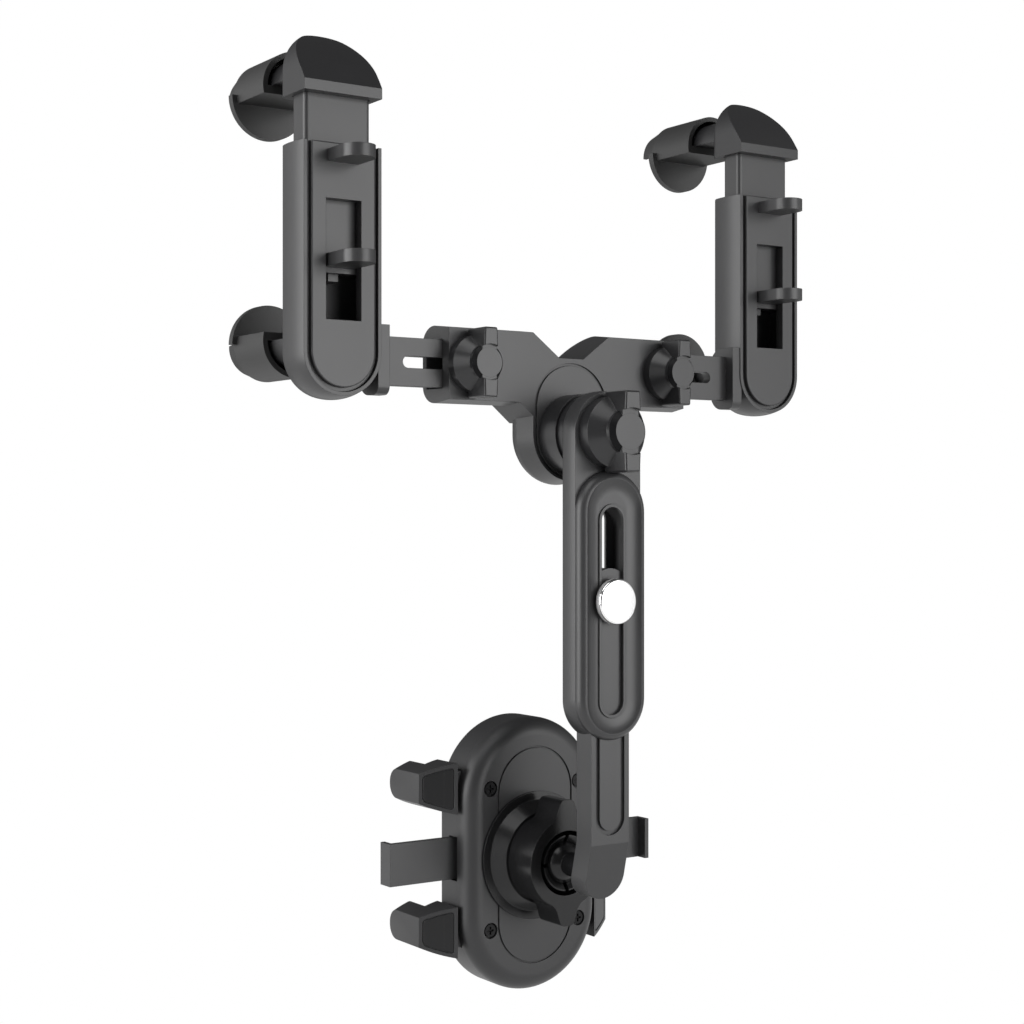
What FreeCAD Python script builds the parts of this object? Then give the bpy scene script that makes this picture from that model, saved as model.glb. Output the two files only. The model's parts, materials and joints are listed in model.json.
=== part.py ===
import FreeCAD, Part
import math
import os
import Sketcher

# Phone mount that grips a rear-view mirror. Millimetres.
# X runs along the yoke, Y points away from the front, towards the phone, and Z is up.
# The origin lies midway between the two clamps, on the housings' back plane, at mid jaw height.

DIMENSIONS = (
    ("clamp_pitch", 194.0, "between the centre lines of the two clamps"),
    ("housing_width", 30.2, "clamp housing, across its front rim"),
    ("housing_depth", 16.5, "clamp housing, front rim to back"),
    ("housing_bulge", 1.1, "housing's sides, beyond the rim at mid depth"),
    ("housing_top", 22.5, "top edge of the housing above the grip centre"),
    ("housing_round_drop", 48.6, "centre of the housing's round end below the grip centre"),
    ("housing_wall", 2.0, "wall of the housing"),
    ("housing_back_round", 2.5, "rounding of the housing's back edges"),
    ("cover_width", 24.6, "raised face of the front cover, across"),
    ("cover_flange_width", 27.4, "flange of the front cover, across"),
    ("cover_flange_drop", 1.9, "cover's flange behind its raised face"),
    ("cover_edge_round", 0.5, "rounding of the cover's raised face"),
    ("cover_gap", 0.1, "round the cover's flange in the housing"),
    ("cover_stand", 0.5, "front cover, proud of the housing's rim"),
    ("cover_thickness", 3.8, "front cover"),
    ("window_width", 13.7, "window in the cover, across"),
    ("window_top", 3.4, "top edge of the window above the grip centre"),
    ("window_drop", 37.9, "bottom edge of the window below the grip centre"),
    ("tab_width", 11.8, "finger tab, across"),
    ("tab_reach", 16.0, "finger tab, out from the cover's face"),
    ("tab_thickness", 4.4, "finger tab"),
    ("upper_tab_height", 15.8, "underside of the cover's tab above the grip centre"),
    ("lower_tab_drop", 19.7, "underside of the slider's tab below the grip centre"),
    ("slider_width", 25.6, "slider bar, across"),
    ("slider_corner", 1.6, "rounding of the slider bar's upright edges"),
    ("slider_thickness", 9.5, "slider bar"),
    ("slider_gap", 0.4, "between the cover's inner face and the slider"),
    ("slider_foot", 1.8, "slider below its tab"),
    ("slider_channel_width", 8.0, "spring channel in the slider's back, across"),
    ("slider_channel_depth", 7.0, "spring channel in the slider's back"),
    ("slider_channel_top", 16.0, "top of the spring channel above the grip centre"),
    ("cap_bottom", 39.4, "underside of the cap above the grip centre"),
    ("cap_straight", 9.0, "straight part of the cap's sides"),
    ("cap_overhang", 1.5, "cap behind the housing's back plane"),
    ("cap_back_round", 3.0, "rounding of the cap's back edges"),
    ("cap_swell", 1.2, "how far the cap's sloping face swells out"),
    ("cap_lip", 3.7, "upright lip under the cap's sloping face"),
    ("cap_socket", 5.6, "how far the slider goes into the cap"),
    ("cap_socket_gap", 0.1, "round the slider in the cap"),
    ("upper_jaw_height", 48.0, "axis of the upper jaw above the grip centre"),
    ("lower_jaw_drop", 42.7, "axis of the lower jaw below the grip centre"),
    ("jaw_arm_radius", 9.5, "inner arm of a jaw"),
    ("jaw_flat", 0.1, "flat of the inner arm, from the jaw's axis"),
    ("pad_radius", 13.0, "half-round sleeve of a jaw"),
    ("pad_flat", 3.0, "gripping flat of the sleeve, from the jaw's axis"),
    ("pad_gap", 0.15, "round the inner arm in its sleeve"),
    ("pad_start", 18.5, "open front end of the sleeve behind the housing"),
    ("pad_wall", 1.9, "wall of the sleeve"),
    ("pad_bore_end", 31.0, "end of the sleeve's hollow behind the housing"),
    ("grip_depth", 39.5, "from the housing's back to the disc"),
    ("disc_radius", 15.0, "disc at the end of a jaw, on its gripping side"),
    ("disc_thickness", 3.0, "disc at the end of a jaw"),
    ("tail_end_radius", 10.6, "half-round tail at its end"),
    ("tail_length", 9.0, "half-round tail behind the disc"),
    ("tail_flat", 0.4, "flat of the tail, from the jaw's axis"),
    ("tail_wall", 2.0, "wall of the hollow tail"),
    ("rail_axis_drop", 50.5, "axis of the bars and rails below the grip centre"),
    ("bracket_height", 24.4, "bracket at the root of a rail"),
    ("bracket_skirt", 3.2, "bracket's front face ends above its lowest part"),
    ("bracket_depth", 13.5, "bracket at the root of a rail, front to back"),
    ("bracket_inset", 3.6, "bracket, from the housing's side inwards"),
    ("rail_height", 17.2, "flat rail"),
    ("rail_thickness", 4.0, "flat rail"),
    ("rail_end", 37.0, "inner end of a rail from the middle"),
    ("rail_slot_outer", 70.4, "outer end of the rail's slot from the middle"),
    ("rail_slot_width", 4.2, "slot in a rail"),
    ("rail_slot_margin", 3.0, "rail beyond the inner end of its slot"),
    ("bar_half_span", 53.6, "ends of the yoke's bars from the middle"),
    ("bar_height", 25.8, "bar of the yoke at its front face"),
    ("yoke_front_stand", 15.5, "yoke's front face, in front of the housings' back plane"),
    ("bar_depth", 15.0, "bar of the yoke, front to back"),
    ("bar_flare", 1.9, "how far the yoke's sides would spread by its back"),
    ("bar_back_round", 6.5, "rounding of the bars' back edges"),
    ("bar_front_wall", 3.7, "front wall of a bar"),
    ("bar_back_wall", 2.1, "back wall of a bar"),
    ("bar_bore_inner", 17.6, "inner end of a bar's hollow from the middle"),
    ("rail_clearance", 0.2, "round a rail in its bar"),
    ("notch_half_top", 17.3, "half width of the notch at the top of the bars"),
    ("notch_half_bottom", 5.5, "half width of the notch at its bottom"),
    ("notch_depth", 8.9, "notch in the top of the yoke"),
    ("web_half_top", 23.2, "half width of the web under the bars"),
    ("web_half_bottom", 17.0, "half width of the web at the boss"),
    ("web_drop", 5.1, "web below the bars"),
    ("hub_drop", 74.8, "hub axis below the grip centre"),
    ("boss_radius", 17.3, "boss round the hub at its front face"),
    ("boss_rise", 10.1, "centre of the boss's upper round above the hub axis"),
    ("boss_overhang", 1.0, "boss behind the bars' back face"),
    ("boss_back_round", 6.0, "rounding of the boss's back edge"),
    ("groove_radius", 16.0, "ring groove in the yoke's face"),
    ("groove_width", 0.9, "ring groove in the yoke's face"),
    ("groove_depth", 0.7, "grooves in the faces"),
    ("hub_bolt_radius", 3.0, "bolt through the hub"),
    ("knob_bolt_radius", 2.0, "bolt through a bar"),
    ("bolt_clearance", 0.05, "round a bolt in its hole"),
    ("bolt_head_radius", 5.2, "head of the hub's bolt"),
    ("knob_bolt_head_radius", 3.6, "head of a bar's bolt"),
    ("bolt_head_height", 3.0, "heads of the bolts"),
    ("drum_radius", 14.8, "drum on the hub"),
    ("drum_length", 10.4, "drum on the hub"),
    ("washer_radius", 13.9, "friction washer"),
    ("washer_thickness", 3.3, "friction washer"),
    ("running_gap", 0.1, "between faces that turn or slide on each other"),
    ("arm_half_width", 14.7, "arm, half its width at its front face"),
    ("arm_plate", 8.8, "plate of the arm"),
    ("arm_length", 96.3, "hub axis to the centre of the arm's lower round"),
    ("rim_stand", 4.1, "crest of the raised rim in front of the arm's plate"),
    ("rim_crest_half", 12.3, "crest of the rim, half its width"),
    ("rim_swell", 1.1, "how far the rim's outer flank swells out"),
    ("arm_bulge", 0.5, "arm's sides, beyond the front edge at mid depth"),
    ("arm_back_round", 2.4, "rounding of the arm's back edges"),
    ("rim_top_drop", 28.8, "centre of the rim's upper round below the hub axis"),
    ("ring_half_width", 5.95, "flat ring round the slot, half its outer width"),
    ("ring_drop", 1.3, "flat ring behind the rim's crest"),
    ("dish_drop", 1.9, "lowest line of the dish behind the rim's crest"),
    ("dish_sag", 0.6, "how far the dish's flank sags"),
    ("slot_half_width", 4.85, "slot of the arm, half its width"),
    ("slot_top_drop", 31.75, "centre of the slot's upper round below the hub axis"),
    ("slot_low_gap", 0.75, "centre of the slot's lower round below the arm's lower round"),
    ("lower_bar_width", 17.0, "lower bar, across"),
    ("lower_bar_thickness", 8.9, "lower bar"),
    ("lower_bar_clearance", 0.2, "round the lower bar in the arm"),
    ("arm_back_wall", 1.0, "arm behind the lower bar"),
    ("lower_bar_top_drop", 57.5, "centre of the lower bar's upper round below the hub axis"),
    ("bar_travel_up", 22.0, "how far the lower bar slides up"),
    ("bend_drop", 148.7, "bend of the lower bar below the hub axis"),
    ("bend_setback", 5.1, "how far the bent end leans back"),
    ("bend_drop_length", 20.6, "height of the bent end"),
    ("inlay_width", 12.8, "inlaid panel of the lower bar with its groove, across"),
    ("inlay_groove", 1.65, "groove round the inlaid panel"),
    ("inlay_depth", 1.1, "groove round the inlaid panel, its depth"),
    ("inlay_end", 3.2, "inlaid panel's end above the bend"),
    ("inlay_top_drop", 108.6, "upper round of the inlaid panel below the hub axis"),
    ("screw_drop", 60.9, "thumb screw below the hub axis"),
    ("screw_head_radius", 8.25, "thumb screw's head"),
    ("screw_head_height", 3.6, "thumb screw's head"),
    ("screw_radius", 2.5, "thumb screw's shank"),
    ("ball_drop", 159.7, "ball's centre below the hub axis"),
    ("ball_front", 7.5, "ball's centre in front of the housings' back plane"),
    ("ball_radius", 8.5, "ball"),
    ("ball_clearance", 0.1, "round the ball in its seat"),
    ("neck_radius", 4.4, "ball's neck"),
    ("stud_pin_radius", 3.0, "pin of the ball stud"),
    ("stud_pin_length", 5.5, "pin of the ball stud"),
    ("stud_boss_radius", 5.4, "boss on the bent end that carries the stud"),
    ("stud_boss_face", 19.0, "boss's face in front of the ball's centre"),
    ("petal_reach", 5.2, "collet's mouth in front of the ball's centre"),
    ("petal_radius", 10.4, "collet at its mouth"),
    ("petal_edge", 0.45, "thickness of a petal's edge at the mouth"),
    ("petal_flare", 1.6, "flare inside the collet's mouth"),
    ("collet_radius", 12.0, "threaded tube of the collet"),
    ("petal_taper", 7.0, "length of the collet's taper"),
    ("petal_gap", 1.6, "gaps between the petals"),
    ("petal_gap_length", 10.0, "gaps between the petals, from the mouth"),
    ("collet_floor", 3.2, "solid behind the ball"),
    ("cone_front_radius", 17.5, "collar's cone at its front"),
    ("cone_back_radius", 21.2, "collar's cone at the cradle"),
    ("cone_length", 6.2, "collar's cone"),
    ("flange_radius", 24.3, "collar's flange on the cradle"),
    ("flange_thickness", 1.2, "collar's flange on the cradle"),
    ("nut_length", 14.8, "ball nut"),
    ("nut_radius", 16.6, "ball nut, outside"),
    ("nut_bore_gap", 0.1, "between the ball nut and the collet"),
    ("nut_wing_half_span", 23.5, "tips of the nut's wings from its axis"),
    ("nut_wing_root", 6.6, "nut's wing, half its width at the root"),
    ("nut_wing_tip", 2.8, "nut's wing, half its width at the tip"),
    ("nut_wing_fillet", 6.0, "rounding where the nut's wings leave it"),
    ("nut_wing_depth", 13.6, "nut's wing, front to back"),
    ("shell_half_width", 30.3, "cradle, half its width"),
    ("shell_half_height", 52.3, "cradle, half its height"),
    ("back_shell_depth", 8.0, "cradle's back shell"),
    ("front_shell_depth", 12.0, "cradle's front shell"),
    ("front_shell_round", 1.5, "rounding of the front shell's edge"),
    ("shell_wall", 2.0, "walls of the cradle"),
    ("dome_round", 6.6, "rounding of the back shell"),
    ("plate_half_width", 17.15, "outlined plate on the back shell, half its width"),
    ("plate_half_height", 41.5, "outlined plate on the back shell, half its height"),
    ("plate_groove", 0.7, "width of the plate's outline"),
    ("shell_screw_x", 20.3, "cradle's screws from its middle, across"),
    ("shell_screw_z", 26.7, "cradle's screws from its middle, up and down"),
    ("shell_screw_head", 2.4, "radius of a cradle screw's head"),
    ("shell_screw_head_height", 1.6, "head of a cradle screw"),
    ("screw_cross_span", 3.0, "cross recess in a cradle screw, across"),
    ("screw_cross_width", 0.7, "arms of the cross recess"),
    ("screw_cross_depth", 0.8, "cross recess, its depth"),
    ("shell_screw_shank", 1.2, "radius of a cradle screw's shank"),
    ("counterbore_radius", 3.0, "counterbore of a cradle screw"),
    ("counterbore_depth", 1.9, "counterbore of a cradle screw"),
    ("post_radius", 2.9, "posts that take the cradle's screws"),
    ("slide_layer", 2.4, "thickness of a claw slide"),
    ("slide_gap", 0.4, "between the two claw slides"),
    ("strip_height", 15.8, "push strip"),
    ("strip_reach", 57.8, "end of a push strip from the middle"),
    ("strip_lip", 7.0, "bent lip of a push strip"),
    ("strip_lip_thickness", 1.8, "bent lip of a push strip"),
    ("slide_notch_gap", 0.4, "round a slide in the shell's side"),
    ("slide_web_inner", 3.6, "slide's upright web, inner edge from the middle"),
    ("slide_web_outer", 16.3, "slide's upright web, outer edge from the middle"),
    ("slide_arm_height", 12.4, "arm of a slide"),
    ("slide_arm_end", 36.0, "end of a slide's arm from the middle"),
    ("claw_travel", 11.0, "how far the claws open on each side"),
    ("claw_row_z", 27.0, "claws from the cradle's middle, up and down"),
    ("claw_root_x", 31.8, "claw's root from the middle"),
    ("claw_root_half", 9.6, "claw, half its height at the root"),
    ("claw_tip_half", 5.6, "claw, half its height at the finger"),
    ("claw_swell", 0.5, "how far the claw's upper and lower edges swell out"),
    ("claw_slope_out", 12.0, "claw's sloping back, outwards"),
    ("claw_slope_back", 8.6, "claw's sloping back, towards the phone"),
    ("claw_lead", 3.0, "claw's back in front of the parting line"),
    ("finger_length", 21.5, "finger of a claw"),
    ("finger_tip_round", 4.6, "rounding of a finger's tip"),
    ("finger_thickness", 6.4, "finger of a claw"),
    ("claw_socket_gap", 0.1, "round a slide's arm in its claw"),
    ("pinion_module", 1.0, "module of the pinion"),
    ("pinion_teeth", 10, "teeth of the pinion"),
    ("pinion_bore", 2.1, "pinion's bore radius"),
    ("pinion_post", 2.0, "radius of the pinion's post"),
    ("front_pad_half_width", 22.0, "rubber pad on the cradle, half its width"),
    ("front_pad_half_height", 44.0, "rubber pad on the cradle, half its height"),
    ("front_pad_thickness", 1.2, "rubber pad on the cradle"),
    ("knob_rim_radius", 10.2, "small knob's rim"),
    ("knob_rim_height", 3.5, "small knob's rim"),
    ("knob_cone_height", 5.0, "small knob's cone"),
    ("knob_cap_radius", 5.35, "small knob's cap"),
    ("knob_collar_radius", 6.5, "small knob's collar behind the cap"),
    ("knob_collar_height", 1.5, "small knob's collar behind the cap's face"),
    ("knob_cap_height", 3.0, "small knob's cap"),
    ("knob_wing_span", 12.4, "small knob's wing tips from its axis"),
    ("knob_wing_root", 3.1, "small knob's wing, half its width at the root"),
    ("knob_wing_tip", 2.7, "small knob's wing, half its width at the tip"),
    ("knob_wing_arc", 6.4, "hollow in front of the small knob's cap"),
    ("knob_wing_stand", 1.3, "small knob's wings in front of its cap"),
    ("knob_wing_bevel", 0.7, "bevel of the small knob's wings"),
    ("knob_wing_base", 1.8, "small knob's wings from its back"),
    ("knob_x", 44.0, "small knobs from the middle"),
    ("hub_knob_rim_radius", 13.0, "hub knob's rim"),
    ("hub_knob_rim_height", 4.8, "hub knob's rim"),
    ("hub_knob_cone_height", 5.0, "hub knob's cone"),
    ("hub_knob_cap_radius", 6.5, "hub knob's cap"),
    ("hub_knob_collar_radius", 8.1, "hub knob's collar behind the cap"),
    ("hub_knob_collar_height", 1.9, "hub knob's collar behind the cap's face"),
    ("hub_knob_cap_height", 3.4, "hub knob's cap"),
    ("hub_knob_wing_span", 14.5, "hub knob's wing tips from its axis"),
    ("hub_knob_wing_root", 3.7, "hub knob's wing, half its width at the root"),
    ("hub_knob_wing_tip", 3.2, "hub knob's wing, half its width at the tip"),
    ("hub_knob_wing_arc", 8.4, "hollow in front of the hub knob's cap"),
    ("hub_knob_wing_stand", 1.8, "hub knob's wings in front of its cap"),
    ("hub_knob_wing_bevel", 0.8, "bevel of the hub knob's wings"),
    ("hub_knob_wing_base", 2.4, "hub knob's wings from its back"),
    ("spring_radius", 2.6, "middle radius of a jaw spring"),
    ("spring_wire", 0.4, "radius of the jaw spring's wire"),
    ("spring_turns", 11, "turns of a jaw spring"),
    ("spring_post_drop", 20.0, "spring's post below the grip centre"),
    ("spring_post_size", 4.0, "spring's post, its width and height"),
    ("overrun", 1.0, "how far a cut starts outside a face, and a joined piece inside it"),
)

os.makedirs("parts", exist_ok=True)
doc = FreeCAD.newDocument("mirror_phone_mount")
sheet = doc.addObject("Spreadsheet::Sheet", "Sizes")


class Size:
    """A length that carries its value and the sheet expression that gives it."""

    def __init__(self, value, text):
        self.value = float(value)
        self.text = text

    def join(self, sign, other, value):
        return Size(value, "(" + self.text + " " + sign + " " + as_size(other).text + ")")

    def __add__(self, other):
        return self.join("+", other, self.value + as_size(other).value)

    def __sub__(self, other):
        return self.join("-", other, self.value - as_size(other).value)

    def __mul__(self, other):
        return self.join("*", other, self.value * as_size(other).value)

    def __truediv__(self, other):
        return self.join("/", other, self.value / as_size(other).value)

    def __radd__(self, other):
        return as_size(other) + self

    def __rsub__(self, other):
        return as_size(other) - self

    def __rmul__(self, other):
        return as_size(other) * self

    def __rtruediv__(self, other):
        return as_size(other) / self

    def __neg__(self):
        return as_size(0) - self

    def root(self):
        return Size(math.sqrt(self.value), "sqrt(" + self.text + ")")


def as_size(number):
    """Take a plain number as a length."""
    if isinstance(number, Size):
        return number
    return Size(number, "(" + str(number) + ")")


class Sizes:
    """The sheet's driving dimensions by name."""

    def __init__(self, rows):
        for row, (alias, value, meaning) in enumerate(rows, start=1):
            cell = "A" + str(row)
            sheet.set(cell, str(value))
            sheet.setAlias(cell, alias)
            sheet.set("B" + str(row), meaning)
            setattr(self, alias, Size(value, "Sizes." + alias))


size = Sizes(DIMENSIONS)
doc.recompute()
finished = []


# Sketches and features


PLANES = {"X": "YZ_Plane", "Y": "XZ_Plane", "Z": "XY_Plane"}


def new_body(label):
    """Start a piece that is built from sketches."""
    body = doc.addObject("PartDesign::Body", label)
    body.Label = label
    finished.append(body)
    return body


def new_sketch(body, axis, level, origin=(0, 0)):
    """Open a sketch across an axis at a level, with its own origin on that plane."""
    role = PLANES[axis]
    plane = [item for item in body.Origin.OriginFeatures if item.Role == role][0]
    sketch = body.newObject("Sketcher::SketchObject", body.Label + "_sketch")
    sketch.AttachmentSupport = [(plane, "")]
    sketch.MapMode = "FlatFace"
    height = as_size(level)
    if axis == "Y":
        height = -height
    across, up = as_size(origin[0]), as_size(origin[1])
    start = FreeCAD.Vector(across.value, up.value, height.value)
    sketch.AttachmentOffset = FreeCAD.Placement(start, FreeCAD.Rotation())
    sketch.setExpression("AttachmentOffset.Base.x", across.text)
    sketch.setExpression("AttachmentOffset.Base.y", up.text)
    sketch.setExpression("AttachmentOffset.Base.z", height.text)
    return sketch


def tie(sketch, kind, *arguments):
    """Add one dimension to a sketch and bind it to the sheet."""
    amount = as_size(arguments[-1])
    index = sketch.addConstraint(Sketcher.Constraint(kind, *arguments[:-1], amount.value))
    sketch.setExpression("Constraints[" + str(index) + "]", amount.text)


def tie_point(sketch, edge, end, across, up):
    """Place a point of an edge from the sketch's origin."""
    tie(sketch, "DistanceX", -1, 1, edge, end, across)
    tie(sketch, "DistanceY", -1, 1, edge, end, up)


def draw_ring(sketch, across, up, radius):
    """Draw a whole circle."""
    centre = FreeCAD.Vector(as_size(across).value, as_size(up).value, 0)
    edge = sketch.addGeometry(Part.Circle(centre, FreeCAD.Vector(0, 0, 1), as_size(radius).value), False)
    tie_point(sketch, edge, 3, across, up)
    tie(sketch, "Radius", edge, radius)


def arc_edge(start, end, centre, turn):
    """Make the arc from start to end about a centre, turning ccw or cw."""
    if turn == "cw":
        start, end = end, start
    radius = (start - centre).Length
    low = math.atan2(start.y - centre.y, start.x - centre.x)
    high = math.atan2(end.y - centre.y, end.x - centre.x)
    if high <= low:
        high += 2 * math.pi
    return Part.ArcOfCircle(Part.Circle(centre, FreeCAD.Vector(0, 0, 1), radius), low, high)


def draw_outline(sketch, corners):
    """Draw a closed outline.

    A corner is (across, up), or (across, up, centre across, centre up, turn) where the
    edge that leaves it is an arc.
    """
    spots = [FreeCAD.Vector(as_size(c[0]).value, as_size(c[1]).value, 0) for c in corners]
    starts, ends, edges = [], [], []
    for index, corner in enumerate(corners):
        here, there = spots[index], spots[(index + 1) % len(corners)]
        if len(corner) == 2:
            edge = sketch.addGeometry(Part.LineSegment(here, there), False)
            first, last = 1, 2
        else:
            centre = FreeCAD.Vector(as_size(corner[2]).value, as_size(corner[3]).value, 0)
            edge = sketch.addGeometry(arc_edge(here, there, centre, corner[4]), False)
            first, last = (1, 2) if corner[4] == "ccw" else (2, 1)
        edges.append(edge)
        starts.append(first)
        ends.append(last)
    for index, corner in enumerate(corners):
        after = (index + 1) % len(corners)
        sketch.addConstraint(Sketcher.Constraint("Coincident", edges[index], ends[index],
                                                 edges[after], starts[after]))
        tie_point(sketch, edges[index], starts[index], corner[0], corner[1])
        if len(corner) > 2:
            chord = spots[after] - spots[index]
            if abs(chord.x) >= abs(chord.y):
                tie(sketch, "DistanceY", -1, 1, edges[index], 3, corner[3])
            else:
                tie(sketch, "DistanceX", -1, 1, edges[index], 3, corner[2])


def draw(sketch, loops):
    """Draw each loop: a circle (across, up, radius) or a list of corners."""
    for loop in loops:
        if isinstance(loop, tuple):
            draw_ring(sketch, *loop)
        else:
            draw_outline(sketch, loop)


def box_loop(left, right, low, high):
    """Give a rectangle's corners."""
    return [(left, low), (right, low), (right, high), (left, high)]


def upright_slot(middle, low, high, radius):
    """Give an upright racetrack's corners, from its two round centres."""
    left, right = middle - radius, middle + radius
    return [(right, low), (right, high, middle, high, "ccw"), (left, high), (left, low, middle, low, "ccw")]


def level_slot(left, right, middle, radius):
    """Give a level racetrack's corners, from its two round centres."""
    return [(left, middle - radius), (right, middle - radius, right, middle, "ccw"),
            (right, middle + radius), (left, middle + radius, left, middle, "ccw")]


def feature(body, kind, sketch, length):
    """Add a pad or pocket of one length."""
    item = body.newObject("PartDesign::" + kind, body.Label + "_" + kind.lower())
    item.Profile = sketch
    item.Length = as_size(length).value
    item.setExpression("Length", as_size(length).text)
    body.Tip = item
    return item


def add_slab(body, axis, low, high, *loops):
    """Add the solid between two levels across an axis."""
    low, high = as_size(low), as_size(high)
    sketch = new_sketch(body, axis, high if axis == "Y" else low)
    draw(sketch, loops)
    return feature(body, "Pad", sketch, high - low)


def cut_slab(body, axis, low, high, *loops):
    """Cut the space between two levels across an axis."""
    low, high = as_size(low), as_size(high)
    sketch = new_sketch(body, axis, low if axis == "Y" else high)
    draw(sketch, loops)
    return feature(body, "Pocket", sketch, high - low)


def spin(body, kind, level, height, loop, way=0):
    """Turn a profile of (along Y, radius) about a level axis at a place across and a height.

    way 0 makes the whole turn, 1 the upper half and -1 the lower half.
    """
    sketch = new_sketch(body, "X", level, (0, height))
    draw(sketch, [flipped(loop) if way < 0 else loop])
    item = body.newObject("PartDesign::" + kind, body.Label + "_" + kind.lower())
    item.Profile = sketch
    item.ReferenceAxis = (sketch, ["H_Axis"])
    item.Angle = 180 if way else 360
    item.Midplane = bool(way)
    body.Tip = item
    return item


def flipped(loop):
    """Turn an outline upside down."""
    turned = {"ccw": "cw", "cw": "ccw"}
    return [(c[0], -c[1]) if len(c) == 2 else (c[0], -c[1], c[2], -c[3], turned[c[4]]) for c in loop]


def round_edges(body, radius, wanted, kind="Fillet"):
    """Round or bevel the edges of the tip that a test picks out."""
    doc.recompute()
    tip = body.Tip
    names = ["Edge" + str(i) for i, edge in enumerate(tip.Shape.Edges, start=1) if wanted(edge)]
    if not names:
        raise ValueError(body.Label + " has no edge to round")
    item = body.newObject("PartDesign::" + kind, body.Label + "_" + kind.lower())
    item.Base = (tip, names)
    name = "Radius" if kind == "Fillet" else "Size"
    setattr(item, name, as_size(radius).value)
    item.setExpression(name, as_size(radius).text)
    body.Tip = item
    doc.recompute()
    return item


def near(number, place):
    """Tell whether a coordinate lies at a size."""
    return abs(number - as_size(place).value) < 0.02


def at_level(edge, axis, level):
    """Tell whether an edge lies in the plane at a level of an axis (0, 1 or 2)."""
    box = edge.BoundBox
    low, high = ((box.XMin, box.XMax), (box.YMin, box.YMax), (box.ZMin, box.ZMax))[axis]
    return near(low, level) and near(high, level)


def upright(edge):
    """Tell whether an edge runs straight along Y."""
    box = edge.BoundBox
    return box.XLength < 0.02 and box.ZLength < 0.02


def bulge_centre(half, bulge, length):
    """Place the centre of the arc that makes a side bulge over a length, from the middle."""
    reach = length / 2
    return half + bulge - (reach * reach + bulge * bulge) / (2 * bulge)


def swell_centre(start, end, swell):
    """Place the centre of the arc from start to end that swells to the left of the way it goes."""
    across, up = end[0] - start[0], end[1] - start[1]
    chord = (across * across + up * up).root()
    share = (chord * chord / 4 - swell * swell) / (2 * swell) / chord
    return (start[0] + end[0]) / 2 + up * share, (start[1] + end[1]) / 2 - across * share


# Places that several pieces share


clamp_x = size.clamp_pitch / 2
housing_front = -size.housing_depth
housing_half = size.housing_width / 2
round_z = -size.housing_round_drop
cover_face = housing_front - size.cover_stand
cover_inner = cover_face + size.cover_thickness
cavity_half = housing_half - size.housing_wall
flange_half = size.cover_flange_width / 2
flange_front = cover_face + size.cover_flange_drop
cap_top = size.cap_bottom + size.cap_straight + housing_half
slider_front = cover_inner + size.slider_gap
slider_back = slider_front + size.slider_thickness
tab_tip_centre = cover_face - size.tab_reach + size.tab_width / 2
yoke_front = -size.yoke_front_stand
yoke_back = yoke_front + size.bar_depth
rail_z = -size.rail_axis_drop
bar_top = rail_z + size.bar_height / 2
bar_bottom = rail_z - size.bar_height / 2
rail_front = yoke_front + size.bar_front_wall + size.rail_clearance
rail_back = rail_front + size.rail_thickness
hub_z = -size.hub_drop
boss_back = yoke_back + size.boss_overhang
drum_front = yoke_front - size.drum_length
washer_front = drum_front - size.washer_thickness
arm_back = washer_front - size.running_gap
arm_front = arm_back - size.arm_plate
rim_front = arm_front - size.rim_stand
ring_front = rim_front + size.ring_drop
rim_top_z = hub_z - size.rim_top_drop
arm_low_z = hub_z - size.arm_length
slot_top_z = hub_z - size.slot_top_drop
slot_low_z = arm_low_z - size.slot_low_gap
lower_back = arm_back - size.arm_back_wall - size.lower_bar_clearance
lower_front = lower_back - size.lower_bar_thickness
lower_half = size.lower_bar_width / 2
lower_top_z = hub_z - size.lower_bar_top_drop
bend_z = hub_z - size.bend_drop
bend_end_z = bend_z - size.bend_drop_length
screw_z = hub_z - size.screw_drop
ball_y = -size.ball_front
cradle_z = hub_z - size.ball_drop
collet_mouth = ball_y - size.petal_reach
nut_front = collet_mouth - 0.2
nut_back = nut_front + size.nut_length
cone_front = nut_back + size.running_gap
back_shell_face = cone_front + size.cone_length
parting = back_shell_face + size.back_shell_depth
cradle_face = parting + size.front_shell_depth
shell_round = size.shell_half_height - size.shell_half_width
layer_low = parting
stud_face = ball_y - size.stud_boss_face


# Clamps


def clamp_housing(side, name):
    """Barrel-sided shell, round at its lower end, with the bracket and the slotted rail."""
    body = new_body("housing_" + name)
    middle = side * clamp_x
    add_barrel(body, middle)
    round_edges(body, size.housing_back_round, lambda edge: at_level(edge, 1, 0))
    inner = side * (clamp_x - housing_half - size.bracket_inset)
    root = side * (clamp_x - housing_half + size.housing_wall / 2)
    add_slab(body, "X", min_size(inner, root), max_size(inner, root), bracket_loop())
    add_rail(body, side)
    past = size.overrun
    cut_slab(body, "Y", housing_front - past, cover_inner,
             housing_loop(middle, flange_half + size.cover_gap, size.housing_top + past))
    cut_slab(body, "Y", cover_inner - past, -size.housing_wall,
             housing_loop(middle, cavity_half, size.housing_top + past))
    add_spring_post(body, middle)
    return body


def add_barrel(body, middle):
    """Solid whose sides bulge between the front rim and the back, with a half-round lower end."""
    half, centre_y = housing_half, housing_front / 2
    centre = bulge_centre(half, size.housing_bulge, size.housing_depth)
    left, right = middle - half, middle + half
    add_slab(body, "Z", round_z, size.housing_top,
             [(left, housing_front), (right, housing_front, middle + centre, centre_y, "ccw"),
              (right, 0), (left, 0, middle - centre, centre_y, "ccw")])
    spin(body, "Revolution", middle, round_z,
         [(housing_front, 0), (0, 0), (0, half, centre_y, centre, "ccw"), (housing_front, half)])


def min_size(one, other):
    """Give the lower of two sizes."""
    return one if one.value < other.value else other


def max_size(one, other):
    """Give the higher of two sizes."""
    return other if one.value < other.value else one


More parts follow.
